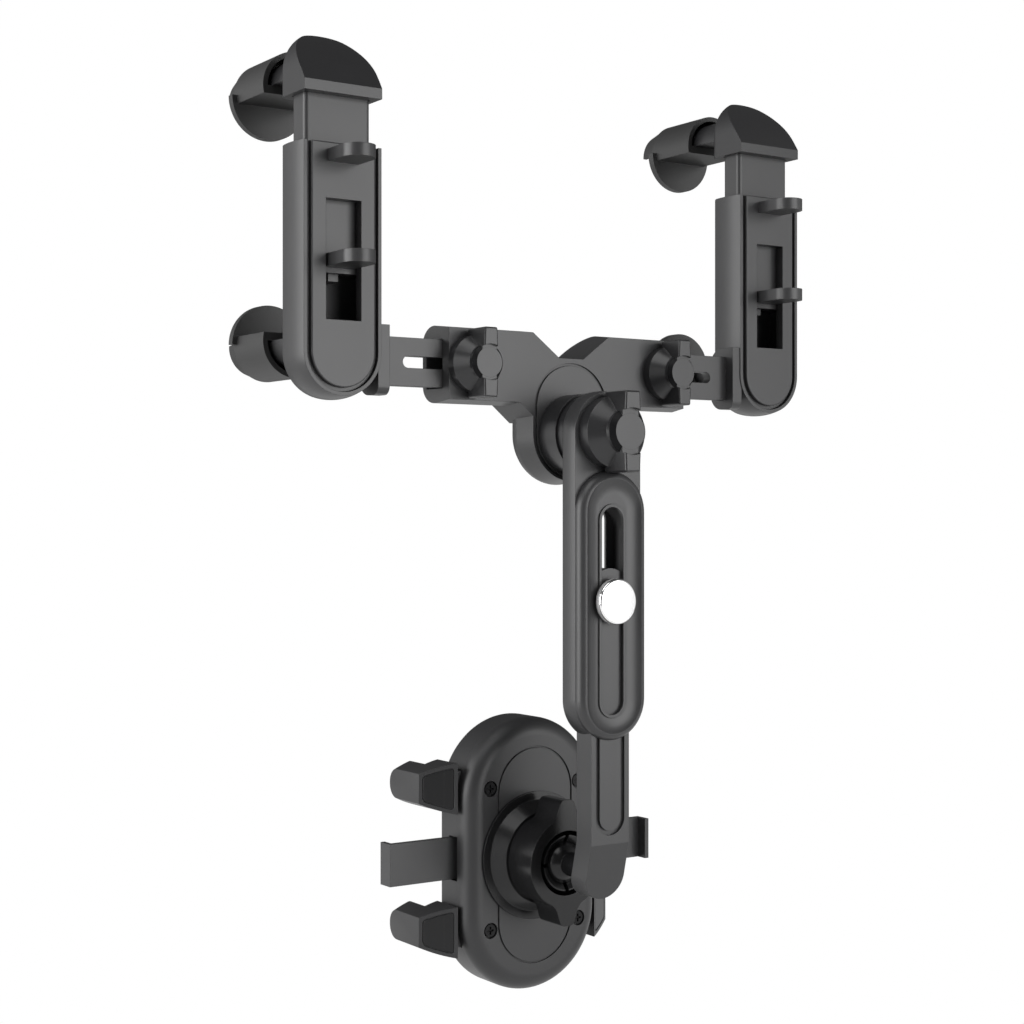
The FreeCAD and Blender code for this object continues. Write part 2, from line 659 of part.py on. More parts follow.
def housing_loop(middle, half, top):
    """Outline with a square top and a half-round bottom."""
    return [(middle + half, round_z), (middle + half, top), (middle - half, top),
            (middle - half, round_z, middle, round_z, "ccw")]


def bracket_loop():
    """Section of the bracket: flat front with a skirt under it, rounded back."""
    low, high = rail_z - size.bracket_height / 2, rail_z + size.bracket_height / 2
    front = housing_front + size.cover_stand
    back = front + size.bracket_depth
    turn = size.bar_back_round
    skirt = size.bracket_skirt
    return [(front, low + skirt, front + skirt, low + skirt, "ccw"), (front + skirt, low),
            (back - turn, low, back - turn, low + turn, "ccw"), (back, low + turn),
            (back, high - turn, back - turn, high - turn, "ccw"), (back - turn, high), (front, high)]


def add_rail(body, side):
    """Flat rail with its long slot."""
    outer = side * (clamp_x - housing_half - size.bracket_inset / 2)
    inner = side * size.rail_end
    half = size.rail_height / 2
    add_slab(body, "Y", rail_front, rail_back,
             box_loop(min_size(inner, outer), max_size(inner, outer), rail_z - half, rail_z + half))
    slot = size.rail_slot_width / 2
    near_end = side * (size.rail_end + size.rail_slot_margin + slot)
    far_end = side * (size.rail_slot_outer - slot)
    cut_slab(body, "Y", rail_front - size.overrun, rail_back + size.overrun,
             level_slot(min_size(near_end, far_end), max_size(near_end, far_end), rail_z, slot))


def add_spring_post(body, middle):
    """Post on the housing's back wall that holds the spring's lower end."""
    half = size.spring_post_size / 2
    low = -size.spring_post_drop - size.spring_post_size
    front = slider_back - size.slider_channel_depth + size.overrun
    add_slab(body, "Y", front, -size.housing_wall / 2,
             box_loop(middle - half, middle + half, low, low + size.spring_post_size))


def clamp_cover(side, name):
    """Front cover: flange seated in the housing, raised face, window and finger tab."""
    body = new_body("cover_" + name)
    middle = side * clamp_x
    add_slab(body, "Y", cover_face, cover_inner, housing_loop(middle, size.cover_width / 2, size.housing_top))
    round_edges(body, size.cover_edge_round, lambda edge: at_level(edge, 1, cover_face))
    add_slab(body, "Y", flange_front, cover_inner, housing_loop(middle, flange_half, size.housing_top))
    half = size.window_width / 2
    cut_slab(body, "Y", cover_face - size.overrun, cover_inner + size.overrun,
             box_loop(middle - half, middle + half, -size.window_drop, size.window_top))
    add_tab(body, middle, size.upper_tab_height, cover_face + size.overrun)
    return body


def add_tab(body, middle, low, root):
    """Finger tab with a round tip."""
    half = size.tab_width / 2
    outline = [(middle + half, root), (middle - half, root),
               (middle - half, tab_tip_centre, middle, tab_tip_centre, "ccw"), (middle + half, tab_tip_centre)]
    add_slab(body, "Z", low, low + size.tab_thickness, outline)


def clamp_slider(side, name):
    """Slider bar with its tab in front and the spring's channel behind."""
    body = new_body("slider_" + name)
    middle = side * clamp_x
    half = size.slider_width / 2
    foot = -size.lower_tab_drop - size.slider_foot
    top = size.cap_bottom + size.cap_socket
    add_slab(body, "Z", foot, top, box_loop(middle - half, middle + half, slider_front, slider_back))
    round_edges(body, size.slider_corner, lambda edge: near(edge.BoundBox.ZLength, top - foot))
    channel = size.slider_channel_width / 2
    cut_slab(body, "Z", foot - size.overrun, size.slider_channel_top,
             box_loop(middle - channel, middle + channel,
                      slider_back - size.slider_channel_depth, slider_back + size.overrun))
    add_tab(body, middle, -size.lower_tab_drop, slider_front + size.overrun)
    return body


def cap_loop(middle, half):
    """Upright sides with a half-round top."""
    low = size.cap_bottom
    high = low + size.cap_straight
    return [(middle - half, low), (middle + half, low),
            (middle + half, high, middle, high, "ccw"), (middle - half, high)]


def upper_jaw(side, name):
    """Cap over the slider with the jaw's inner arm in one piece."""
    body = new_body("upper_jaw_" + name)
    middle = side * clamp_x
    add_slab(body, "Y", cover_face, size.cap_overhang, cap_loop(middle, housing_half))
    round_edges(body, size.cap_back_round,
                lambda edge: at_level(edge, 1, size.cap_overhang) and edge.BoundBox.ZMax > size.cap_bottom.value + 1)
    cut_slope(body, middle)
    add_jaw_arm(body, middle, size.cap_overhang - size.overrun, 1)
    gap = size.cap_socket_gap
    socket = size.slider_width / 2 + gap
    cut_slab(body, "Z", size.cap_bottom - size.overrun, size.cap_bottom + size.cap_socket + gap,
             box_loop(middle - socket, middle + socket, slider_front - gap, slider_back + gap))
    return body


def cut_slope(body, middle):
    """Cut the cap's sloping front face, which swells a little, above its upright lip."""
    foot = (cover_face, size.cap_bottom + size.cap_lip)
    head = (size.cap_overhang, cap_top)
    centre = swell_centre(foot, head, size.cap_swell)
    past = size.overrun
    reach = housing_half + past
    cut_slab(body, "X", middle - reach, middle + reach,
             [(foot[0], foot[1], centre[0], centre[1], "cw"), head, (head[0], head[1] + past),
              (foot[0] - past, head[1] + past), (foot[0] - past, foot[1])])


def jaw_height(way):
    """Give the height of a jaw's axis. way is 1 for the upper jaw, -1 for the lower."""
    return size.upper_jaw_height if way > 0 else -size.lower_jaw_drop


def jaw_loop(middle, radius, flat, way):
    """Round section cut flat on the gripping side. way is 1 for the upper jaw, -1 for the lower."""
    axis = jaw_height(way)
    edge = axis - way * flat
    half = (radius * radius - flat * flat).root()
    turn = "ccw" if way > 0 else "cw"
    return [(middle + half, edge, middle, axis, turn), (middle - half, edge)]


def add_jaw_arm(body, middle, root, way):
    """Inner arm of a jaw, from the housing to the disc."""
    add_slab(body, "Y", root, size.grip_depth - size.overrun,
             jaw_loop(middle, size.jaw_arm_radius, size.jaw_flat, way))


def lower_jaw(side, name):
    """Fixed jaw's arm on the housing's back."""
    body = new_body("lower_jaw_" + name)
    middle = side * clamp_x
    add_jaw_arm(body, middle, as_size(0), -1)
    return body


def jaw_pad(side, name, way):
    """Sleeve, disc and tail that slip over a jaw's arm."""
    body = new_body(("upper_pad_" if way > 0 else "lower_pad_") + name)
    middle = side * clamp_x
    axis = jaw_height(way)
    past = size.overrun
    disc_back = size.grip_depth + size.disc_thickness
    add_tail(body, middle, axis, disc_back, way)
    add_slab(body, "Y", size.pad_start, disc_back, jaw_loop(middle, size.pad_radius, size.pad_flat, way))
    add_slab(body, "Y", size.grip_depth, disc_back, (middle, axis, size.pad_radius))
    add_slab(body, "Y", size.grip_depth, disc_back, half_disc(middle, axis, size.disc_radius, -way))
    cut_slab(body, "Y", size.pad_start - past, size.pad_bore_end,
             jaw_loop(middle, size.pad_radius - size.pad_wall, size.jaw_flat, way))
    cut_slab(body, "Y", size.pad_bore_end - past, size.grip_depth - past + size.pad_gap,
             jaw_loop(middle, size.jaw_arm_radius + size.pad_gap, size.jaw_flat + size.pad_gap, way))
    return body


def half_disc(middle, axis, radius, way):
    """Upper or lower half of a disc."""
    return [(middle + radius, axis, middle, axis, "ccw" if way > 0 else "cw"), (middle - radius, axis)]


def add_tail(body, middle, axis, start, way):
    """Hollow half-round tail that narrows away from the disc."""
    past = size.overrun
    end = start + size.tail_length
    wall = size.tail_wall
    spin(body, "Revolution", middle, axis,
         [(start - past, 0), (end, 0), (end, size.tail_end_radius), (start - past, size.pad_radius)])
    reach = size.pad_radius + past
    flat = axis - way * size.tail_flat
    far = axis - way * reach
    cut_slab(body, "Y", start - past * 2, end + past,
             box_loop(middle - reach, middle + reach, min_size(flat, far), max_size(flat, far)))
    spin(body, "Groove", middle, axis,
         [(start, 0), (end + past, 0), (end + past, size.tail_end_radius - wall), (start, size.pad_radius - wall)])


def jaw_spring(side, name):
    """Coil spring from the housing's post to the top of the slider's channel."""
    low = -size.spring_post_drop
    height = size.slider_channel_top - low - 2 * size.spring_wire
    centre_y = slider_back - size.slider_channel_depth / 2
    helix = doc.addObject("Part::Helix", "spring_line_" + name)
    bind(helix, "Radius", size.spring_radius)
    bind(helix, "Height", height)
    bind(helix, "Pitch", height / size.spring_turns)
    wire = doc.addObject("Part::Circle", "spring_wire_" + name)
    bind(wire, "Radius", size.spring_wire)
    wire.Placement = FreeCAD.Placement(FreeCAD.Vector(size.spring_radius.value, 0, 0),
                                       FreeCAD.Rotation(FreeCAD.Vector(1, 0, 0), 90))
    bind(wire, "Placement.Base.x", size.spring_radius)
    coil = doc.addObject("Part::Sweep", "jaw_spring_" + name)
    coil.Sections = [wire]
    coil.Spine = (helix, [])
    coil.Solid = True
    coil.Frenet = True
    coil.Label = "jaw_spring_" + name
    place(coil, side * clamp_x, centre_y, low + size.spring_wire)
    finished.append(coil)
    return coil


def bind(item, name, amount):
    """Give a property its value and bind it to the sheet."""
    item.setExpression(name, as_size(amount).text)


def place(item, across, along, up):
    """Bind an object's position to the sheet."""
    bind(item, "Placement.Base.x", across)
    bind(item, "Placement.Base.y", along)
    bind(item, "Placement.Base.z", up)


# Yoke and hub


def yoke():
    """Centre bracket: two hollow bars, the notch between them and the hub's boss, all with spreading sides."""
    body = new_body("yoke")
    span, high, low = size.bar_half_span, bar_top, bar_bottom
    notch = high - size.notch_depth
    web = low - size.web_drop
    add_flared(body, yoke_front, boss_back,
               upright_slot(as_size(0), hub_z, hub_z + size.boss_rise, size.boss_radius))
    round_edges(body, size.boss_back_round, lambda edge: at_level(edge, 1, boss_back))
    add_flared(body, yoke_front, yoke_back,
               [(-span, low), (-size.web_half_top, low), (-size.web_half_bottom, web),
                (size.web_half_bottom, web), (size.web_half_top, low), (span, low),
                (span, high), (size.notch_half_top, high), (size.notch_half_bottom, notch),
                (-size.notch_half_bottom, notch), (-size.notch_half_top, high), (-span, high)])
    round_edges(body, size.bar_back_round, is_bar_back_edge)
    hollow_bars(body)
    cut_ring_groove(body)
    past = size.overrun
    cut_slab(body, "Y", yoke_front - past, boss_back + past,
             (0, hub_z, size.hub_bolt_radius + size.bolt_clearance),
             (size.knob_x, rail_z, size.knob_bolt_radius + size.bolt_clearance),
             (-size.knob_x, rail_z, size.knob_bolt_radius + size.bolt_clearance))
    return body


def add_flared(body, front, back, loop):
    """Add a solid from a front outline, with sides that spread towards the back."""
    sketch = new_sketch(body, "Y", front)
    draw(sketch, [loop])
    item = feature(body, "Pad", sketch, back - front)
    item.Reversed = True
    slope = size.bar_flare / size.bar_depth
    item.TaperAngle = math.degrees(math.atan(slope.value))
    item.setExpression("TaperAngle", "atan(" + slope.text + ")")
    return item


def is_bar_back_edge(edge):
    """Tell the long back edges of the bars from the rest of the outline."""
    box = edge.BoundBox
    level = near(box.ZMin, bar_top + size.bar_flare) or near(box.ZMin, bar_bottom - size.bar_flare)
    return at_level(edge, 1, yoke_back) and level and box.ZLength < 0.02 and box.XLength > size.web_half_top.value


def hollow_bars(body):
    """Open-ended hollows that take the two rails."""
    half = size.rail_height / 2 + size.rail_clearance
    end = size.bar_half_span + size.bar_flare + size.overrun
    for side in (-1, 1):
        inner, outer = side * size.bar_bore_inner, side * end
        cut_slab(body, "Y", rail_front - size.rail_clearance, yoke_back - size.bar_back_wall,
                 box_loop(min_size(inner, outer), max_size(inner, outer), rail_z - half, rail_z + half))


def cut_ring_groove(body):
    """Racetrack groove on the boss's face, round its edge."""
    low, high = hub_z, hub_z + size.boss_rise
    outer, inner = size.groove_radius + size.groove_width / 2, size.groove_radius - size.groove_width / 2
    cut_slab(body, "Y", yoke_front - size.overrun, yoke_front + size.groove_depth,
             upright_slot(as_size(0), low, high, outer), upright_slot(as_size(0), low, high, inner))


def hub_drum():
    """Drum between the yoke's face and the friction washer."""
    body = new_body("hub_drum")
    add_slab(body, "Y", drum_front, yoke_front, (0, hub_z, size.drum_radius),
             (0, hub_z, size.hub_bolt_radius + size.bolt_clearance))
    return body


def friction_washer():
    """Washer that the arm turns against."""
    body = new_body("friction_washer")
    add_slab(body, "Y", washer_front, drum_front, (0, hub_z, size.washer_radius),
             (0, hub_z, size.hub_bolt_radius + size.bolt_clearance))
    return body


def bolt(label, across, height, radius, head_radius, face, tip):
    """Bolt along Y with its head against the yoke's back face."""
    body = new_body(label)
    head = face + size.bolt_head_height
    spin(body, "Revolution", across, height,
         [(tip, 0), (head, 0), (head, head_radius), (face, head_radius), (face, radius), (tip, radius)])
    return body


# Knobs


def wing_knob(label, across, height, base, key):
    """Knob turned to a rim, a cone, a collar and a cap, with two wings. key is the sizes' first words."""
    body = new_body(label)
    rim, cap, collar = (part_size(key, name) for name in ("rim_radius", "cap_radius", "collar_radius"))
    rim_y = base - part_size(key, "rim_height")
    cone_y = rim_y - part_size(key, "cone_height")
    cap_y = cone_y - part_size(key, "cap_height")
    collar_y = cap_y + part_size(key, "collar_height")
    front = cap_y - part_size(key, "wing_stand")
    span, root, tip = (part_size(key, name) for name in ("wing_span", "wing_root", "wing_tip"))
    spin(body, "Revolution", across, height,
         [(cap_y, 0), (base, 0), (base, rim), (rim_y, rim), (cone_y, collar), (collar_y, collar), (cap_y, cap)])
    for way in (1, -1):
        add_slab(body, "Y", front, base - part_size(key, "wing_base"),
                 wing_loop(across, height, way, span, root, tip))
    round_edges(body, part_size(key, "wing_bevel"), lambda edge: is_wing_edge(edge, front, height, span))
    cut_slab(body, "Y", front - size.overrun, cap_y, (across, height, part_size(key, "wing_arc")))
    doc.recompute()
    return body


def is_wing_edge(edge, front, height, span):
    """Tell the front and tip edges of a wing."""
    box = edge.BoundBox
    tip = near(abs(box.ZMin - height.value), span) and near(abs(box.ZMax - height.value), span)
    return at_level(edge, 1, front) or tip


def part_size(key, name):
    """Give a knob's size by the knob's first words and the size's own name."""
    return getattr(size, key + "_" + name)


def wing_loop(across, height, way, span, root, tip):
    """Wing that narrows from the axis outwards, up or down."""
    foot, end = height + way * root, height + way * span
    if way > 0:
        return [(across - root, foot), (across + root, foot), (across + tip, end), (across - tip, end)]
    return [(across - tip, end), (across + tip, end), (across + root, foot), (across - root, foot)]


# Arm and lower bar


def arm():
    """Upper arm: barrel-sided plate with a raised, dished rim round a long slot, hollow for the lower bar."""
    body = new_body("arm")
    add_plate(body)
    round_edges(body, size.arm_back_round, lambda edge: at_level(edge, 1, arm_back))
    add_rim(body)
    middle = as_size(0)
    add_slab(body, "Y", ring_front, arm_front,
             upright_slot(middle, slot_low_z, slot_top_z, size.ring_half_width))
    half = lower_half + size.lower_bar_clearance
    cavity_top = lower_top_z + size.bar_travel_up
    below = arm_low_z - size.arm_half_width - size.overrun
    cut_slab(body, "Y", lower_front - size.lower_bar_clearance, lower_back + size.lower_bar_clearance,
             [(-half, below), (half, below), (half, cavity_top, 0, cavity_top, "ccw"), (-half, cavity_top)])
    cut_slab(body, "Y", rim_front - size.overrun, arm_back + size.overrun,
             upright_slot(middle, slot_low_z, slot_top_z, size.slot_half_width),
             (0, hub_z, size.hub_bolt_radius + size.bolt_clearance))
    return body


def add_plate(body):
    """Long plate with round ends and sides that bulge a little."""
    half = size.arm_half_width
    centre = bulge_centre(half, size.arm_bulge, size.arm_plate)
    centre_y = (arm_front + arm_back) / 2
    add_slab(body, "Z", arm_low_z, hub_z,
             [(-half, arm_front), (half, arm_front, centre, centre_y, "ccw"),
              (half, arm_back), (-half, arm_back, -centre, centre_y, "ccw")])
    for height in (arm_low_z, hub_z):
        spin(body, "Revolution", as_size(0), height,
             [(arm_front, 0), (arm_back, 0), (arm_back, half, centre_y, centre, "ccw"), (arm_front, half)])


def add_rim(body):
    """Raised rim: a flank that swells up from the plate's edge, the crest and the dish inside it."""
    foot, crest = size.arm_half_width, size.rim_crest_half
    ring, dish = size.ring_half_width, rim_front + size.dish_drop
    flank_y, flank = swell_centre((rim_front, crest), (arm_front, foot), size.rim_swell)
    dish_y, dish_r = swell_centre((rim_front, crest), (dish, ring), size.dish_sag)
    add_slab(body, "Z", arm_low_z, rim_top_z,
             [(-foot, arm_front), (foot, arm_front, flank, flank_y, "cw"),
              (crest, rim_front, dish_r, dish_y, "ccw"), (ring, dish),
              (-ring, dish, -dish_r, dish_y, "ccw"), (-crest, rim_front, -flank, flank_y, "cw")])
    profile = [(arm_front, 0), (arm_front, foot, flank_y, flank, "ccw"),
               (rim_front, crest, dish_y, dish_r, "cw"), (dish, ring), (dish, 0)]
    spin(body, "Revolution", as_size(0), rim_top_z, profile, 1)
    spin(body, "Revolution", as_size(0), arm_low_z, profile, -1)


def lower_bar():
    """Lower bar with a rounded top, a bent round end, the inlaid panel and the stud's boss."""
    body = new_body("lower_bar")
    middle = as_size(0)
    low_z = bend_end_z + lower_half
    deep = lower_back + size.bend_setback
    add_slab(body, "Y", lower_front, deep, upright_slot(middle, low_z, lower_top_z, lower_half))
    wide = lower_half + 1
    lean = size.bend_setback / size.bend_drop_length
    inner_z = bend_z + size.lower_bar_thickness * lean / 2
    below = bend_end_z - 2
    cut_slab(body, "X", -wide, wide,
             [(lower_back, lower_top_z + lower_half + 1), (lower_back, inner_z),
              (lower_back + (inner_z - below) * lean, below), (deep + 4, below),
              (deep + 4, lower_top_z + lower_half + 1)],
             [(lower_front - 1, bend_z + 1 / lean), (lower_front - 1, below),
              (lower_front + (bend_z - below) * lean, below), (lower_front, bend_z)])
    add_slab(body, "Y", lower_front + 5, stud_face, (0, cradle_z, size.stud_boss_radius))
    cut_slab(body, "Y", stud_face - size.stud_pin_length - size.running_gap, stud_face + 1,
             (0, cradle_z, size.stud_pin_radius + size.bolt_clearance))
    cut_inlay(body)
    cut_slab(body, "Y", lower_front - 1, lower_back + 1,
             (0, screw_z, size.screw_radius + size.bolt_clearance))
    return body


def cut_inlay(body):
    """Groove that outlines the inlaid panel."""
    outer = size.inlay_width / 2
    inner = outer - size.inlay_groove
    low = bend_z + size.inlay_end + outer
    high = hub_z - size.inlay_top_drop
    cut_slab(body, "Y", lower_front - size.overrun, lower_front + size.inlay_depth,
             upright_slot(as_size(0), low, high, outer), upright_slot(as_size(0), low, high, inner))


def thumb_screw():
    """Bright screw that clamps the lower bar in the arm."""
    body = new_body("thumb_screw")
    back = ring_front - size.running_gap
    front = back - size.screw_head_height
    spin(body, "Revolution", 0, screw_z,
         [(front, 0), (lower_back, 0), (lower_back, size.screw_radius), (back, size.screw_radius),
          (back, size.screw_head_radius), (front, size.screw_head_radius)])
    return body


# Ball joint


def ball_stud():
    """Ball on a neck, with the pin that sits in the lower bar's boss."""
    body = new_body("ball_stud")
    shoulder = stud_face + size.running_gap
    pin_end = stud_face - size.stud_pin_length
    neck = size.neck_radius
    reach = (size.ball_radius * size.ball_radius - neck * neck).root()
    far = ball_y + size.ball_radius
    spin(body, "Revolution", 0, cradle_z,
         [(pin_end, 0), (pin_end, size.stud_pin_radius), (shoulder, size.stud_pin_radius), (shoulder, neck),
          (ball_y - reach, neck, ball_y, 0, "cw"), (far, 0)])
    return body


def ball_collar():
    """Flanged cone on the cradle's back that carries the collet's four petals."""
    body = new_body("ball_collar")
    seat = size.ball_radius + size.ball_clearance
    inner_mouth = collet_mouth + size.petal_flare
    behind = ball_y - inner_mouth
    mouth_radius = (seat * seat - behind * behind).root()
    taper_end = collet_mouth + size.petal_taper
    floor = ball_y + seat
    flange = back_shell_face - size.flange_thickness
    spin(body, "Revolution", 0, cradle_z,
         [(floor, 0), (back_shell_face, 0), (back_shell_face, size.flange_radius),
          (flange, size.flange_radius), (flange, size.cone_back_radius),
          (cone_front, size.cone_front_radius), (cone_front, size.collet_radius),
          (taper_end, size.collet_radius), (collet_mouth, size.petal_radius),
          (collet_mouth, size.petal_radius - size.petal_edge),
          (inner_mouth, mouth_radius, ball_y, 0, "cw")])
    half = size.petal_gap / 2
    front, end = collet_mouth - size.overrun, collet_mouth + size.petal_gap_length
    reach = size.collet_radius + size.overrun
    cut_slab(body, "Y", front, end, box_loop(-half, half, cradle_z - reach, cradle_z + reach))
    cut_slab(body, "Y", front, end, box_loop(-reach, reach, cradle_z - half, cradle_z + half))
    return body


def ball_nut():
    """Ring nut with two smooth wings."""
    body = new_body("ball_nut")
    add_slab(body, "Y", nut_front, nut_back, (0, cradle_z, size.nut_radius))
    wing_end = nut_front + size.nut_wing_depth
    foot = size.nut_radius - 5
    for way in (1, -1):
        near_z, far_z = cradle_z + way * foot, cradle_z + way * size.nut_wing_half_span
        root, tip = size.nut_wing_root, size.nut_wing_tip
        loop = [(-root, near_z), (root, near_z), (tip, far_z), (-tip, far_z)]
        add_slab(body, "Y", nut_front, wing_end, loop if way > 0 else loop[::-1])
    round_edges(body, size.nut_wing_tip * 0.8, lambda edge: upright(edge) and is_wing_tip(edge))
    round_edges(body, size.nut_wing_fillet, lambda edge: upright(edge) and is_wing_root(edge))
    cut_slab(body, "Y", nut_front - 1, nut_back + 1,
             (0, cradle_z, size.collet_radius + size.nut_bore_gap))
    return body


def is_wing_tip(edge):
    """Tell the outer corners of the nut's wings."""
    return near(abs(edge.BoundBox.ZMin - cradle_z.value), size.nut_wing_half_span)


def is_wing_root(edge):
    """Tell the corners where the nut's wings leave the ring."""
    box = edge.BoundBox
    away = math.hypot(box.XMin, box.ZMin - cradle_z.value)
    return near(away, size.nut_radius) and abs(box.XMin) > 0.5


# Cradle


def shell_loop(shrink=0):
    """Racetrack outline of the cradle, smaller by a wall where one is given."""
    return upright_slot(as_size(0), cradle_z - shell_round, cradle_z + shell_round,
                        size.shell_half_width - shrink)


def screw_spots():
    """Places of the cradle's four screws."""
    return [(x * size.shell_screw_x, cradle_z + z * size.shell_screw_z) for x in (-1, 1) for z in (-1, 1)]


def back_shell():
    """Domed back half of the cradle with the outlined plate, the screw posts and the pinion's post."""
    body = new_body("back_shell")
    add_slab(body, "Y", back_shell_face, parting, shell_loop())
    round_edges(body, size.dome_round, lambda edge: at_level(edge, 1, back_shell_face))
    cut_slab(body, "Y", back_shell_face + size.shell_wall, parting + 1,
             shell_loop(size.shell_wall * 2))
    rise = size.plate_half_height - size.plate_half_width
    cut_slab(body, "Y", back_shell_face - 0.5, back_shell_face + size.groove_depth,
             upright_slot(as_size(0), cradle_z - rise, cradle_z + rise, size.plate_half_width),
             upright_slot(as_size(0), cradle_z - rise, cradle_z + rise,
                          size.plate_half_width - size.plate_groove))
    for x, z in screw_spots():
        add_slab(body, "Y", back_shell_face + 1, parting - 0.5, (x, z, size.post_radius + 1))
    for x, z in screw_spots():
        cut_slab(body, "Y", back_shell_face - 1, back_shell_face + size.counterbore_depth,
                 (x, z, size.counterbore_radius))
        cut_slab(body, "Y", back_shell_face, parting + 1,
                 (x, z, size.shell_screw_shank + size.bolt_clearance))
    add_slab(body, "Y", back_shell_face + 1, cradle_face - size.shell_wall - 0.2,
             (0, cradle_z, size.pinion_post))
    return body


def front_shell():
    """Flat-sided front half of the cradle, notched for the slides."""
    body = new_body("front_shell")
    add_slab(body, "Y", parting, cradle_face, shell_loop())
    round_edges(body, size.front_shell_round, lambda edge: at_level(edge, 1, cradle_face))
    cut_slab(body, "Y", parting - 1, cradle_face - size.shell_wall, shell_loop(size.shell_wall))
    notch = layer_low + 2 * size.slide_layer + size.slide_gap + size.slide_notch_gap
    wide = size.shell_half_width + 1
    half = size.strip_height / 2 + size.slide_notch_gap
    cut_slab(body, "Y", parting - 1, notch, box_loop(-wide, wide, cradle_z - half, cradle_z + half))
    arm_half = size.slide_arm_height / 2 + size.slide_notch_gap
    for way in (1, -1):
        row = cradle_z + way * size.claw_row_z
        cut_slab(body, "Y", parting - 1, notch, box_loop(-wide, wide, row - arm_half, row + arm_half))
    for x, z in screw_spots():
        add_slab(body, "Y", parting, cradle_face - size.shell_wall / 2, (x, z, size.post_radius))
    for x, z in screw_spots():
        cut_slab(body, "Y", parting - 1, cradle_face - size.shell_wall,
                 (x, z, size.shell_screw_shank + size.bolt_clearance))
    return body


def shell_screws():
    """Four like screws that hold the shells together, each with a cross recess."""
    solids = []
    seat = back_shell_face + size.counterbore_depth
    face = seat - size.shell_screw_head_height
    end = parting + size.front_shell_depth / 2
    along = FreeCAD.Vector(0, 1, 0)
    for x, z in screw_spots():
        top = FreeCAD.Vector(x.value, face.value, z.value)
        head = Part.makeCylinder(size.shell_screw_head.value, size.shell_screw_head_height.value, top, along)
        shank = Part.makeCylinder(size.shell_screw_shank.value, (end - face).value, top, along)
        solids.append(head.fuse(shank).removeSplitter().cut(cross_recess(top)).removeSplitter())
    return shaped("shell_screws", Part.makeCompound(solids))


def cross_recess(top):
    """Cross-shaped block to cut from a screw's head."""
    span, width = size.screw_cross_span.value, size.screw_cross_width.value
    deep = size.screw_cross_depth.value
    level = Part.makeBox(span, deep, width, top - FreeCAD.Vector(span / 2, 0, width / 2))
    upright_arm = Part.makeBox(width, deep, span, top - FreeCAD.Vector(width / 2, 0, span / 2))
    return level.fuse(upright_arm)


def shaped(label, shape):
    """Add a piece whose form is worked out from the sheet's sizes."""
    item = doc.addObject("Part::Feature", label)
    item.Label = label
    item.Shape = shape
    item.Placement = FreeCAD.Placement()
    finished.append(item)
    return item


def slide_levels(side):
    """Give the layer, low and high, in which a slide runs."""
    low = layer_low + size.running_gap
    if side > 0:
        low = low + size.slide_layer + size.slide_gap
    return low, low + size.slide_layer


def claw_slide(side, name):
    """Plate with two arms for the claws, a rack for the pinion and the push strip on the far side."""
    body = new_body("claw_slide_" + name)
    low, high = slide_levels(side)
    half = size.strip_height / 2
    web = size.claw_row_z + size.slide_arm_height / 2
    inner, outer = side * size.slide_web_inner, side * size.slide_web_outer
    add_slab(body, "Y", low, high, box_loop(min_size(inner, outer), max_size(inner, outer),
                                            cradle_z - web, cradle_z + web))
    far = -side * size.strip_reach
    add_slab(body, "Y", low, high, box_loop(min_size(far, outer), max_size(far, outer),
                                            cradle_z - half, cradle_z + half))
    end = side * size.slide_arm_end
    arm_half = size.slide_arm_height / 2
    for way in (1, -1):
        row = cradle_z + way * size.claw_row_z
        add_slab(body, "Y", low, high, box_loop(min_size(inner, end), max_size(inner, end),
                                                row - arm_half, row + arm_half))
    lip_inner = far + side * size.strip_lip_thickness
    lip_low = low if side > 0 else high - size.strip_lip
    add_slab(body, "Y", lip_low, lip_low + size.strip_lip,
             box_loop(min_size(far, lip_inner), max_size(far, lip_inner), cradle_z - half, cradle_z + half))
    cut_guide_slots(body, side, low, high)
    cut_rack(body, side, low, high)
    return body


def cut_guide_slots(body, side, low, high):
    """Slots that run on the screw posts."""
    radius = size.post_radius + size.slide_notch_gap / 2
    inner = side * (size.shell_screw_x - size.claw_travel - 0.5)
    outer = side * (size.shell_screw_x + 0.3)
    for way in (1, -1):
        row = cradle_z + way * size.shell_screw_z
        cut_slab(body, "Y", low - 1, high + 1,
                 level_slot(min_size(inner, outer), max_size(inner, outer), row, radius))


def cut_rack(body, side, low, high):
    """Window round the pinion with rack teeth along one edge."""
    module = size.pinion_module
    pitch = module * math.pi
    pitch_radius = module * size.pinion_teeth / 2
    root = pitch_radius + 1.25 * module
    tip = pitch_radius - module
    clear = pitch_radius + 1.8 * module
    near_end = side * (pitch_radius + 1.6 * module)
    far_end = -side * (size.claw_travel + pitch_radius + 1.6 * module)
    left, right = min_size(near_end, far_end), max_size(near_end, far_end)
    foot, crest = pitch * 0.36, pitch * 0.14
    count = int((right.value - left.value) / pitch.value) + 2
    edge = [(left, cradle_z - side * root)]
    for index in range(-count, count + 1):
        middle = pitch * (index + 0.5)
        if middle.value - foot.value > left.value + 0.3 and middle.value + foot.value < right.value - 0.3:
            edge += [(middle - foot, cradle_z - side * root), (middle - crest, cradle_z - side * tip),
                     (middle + crest, cradle_z - side * tip), (middle + foot, cradle_z - side * root)]
    edge.append((right, cradle_z - side * root))
    edge += [(right, cradle_z + side * clear), (left, cradle_z + side * clear)]
    cut_slab(body, "Y", low - 1, high + 1, edge if side > 0 else edge[::-1])


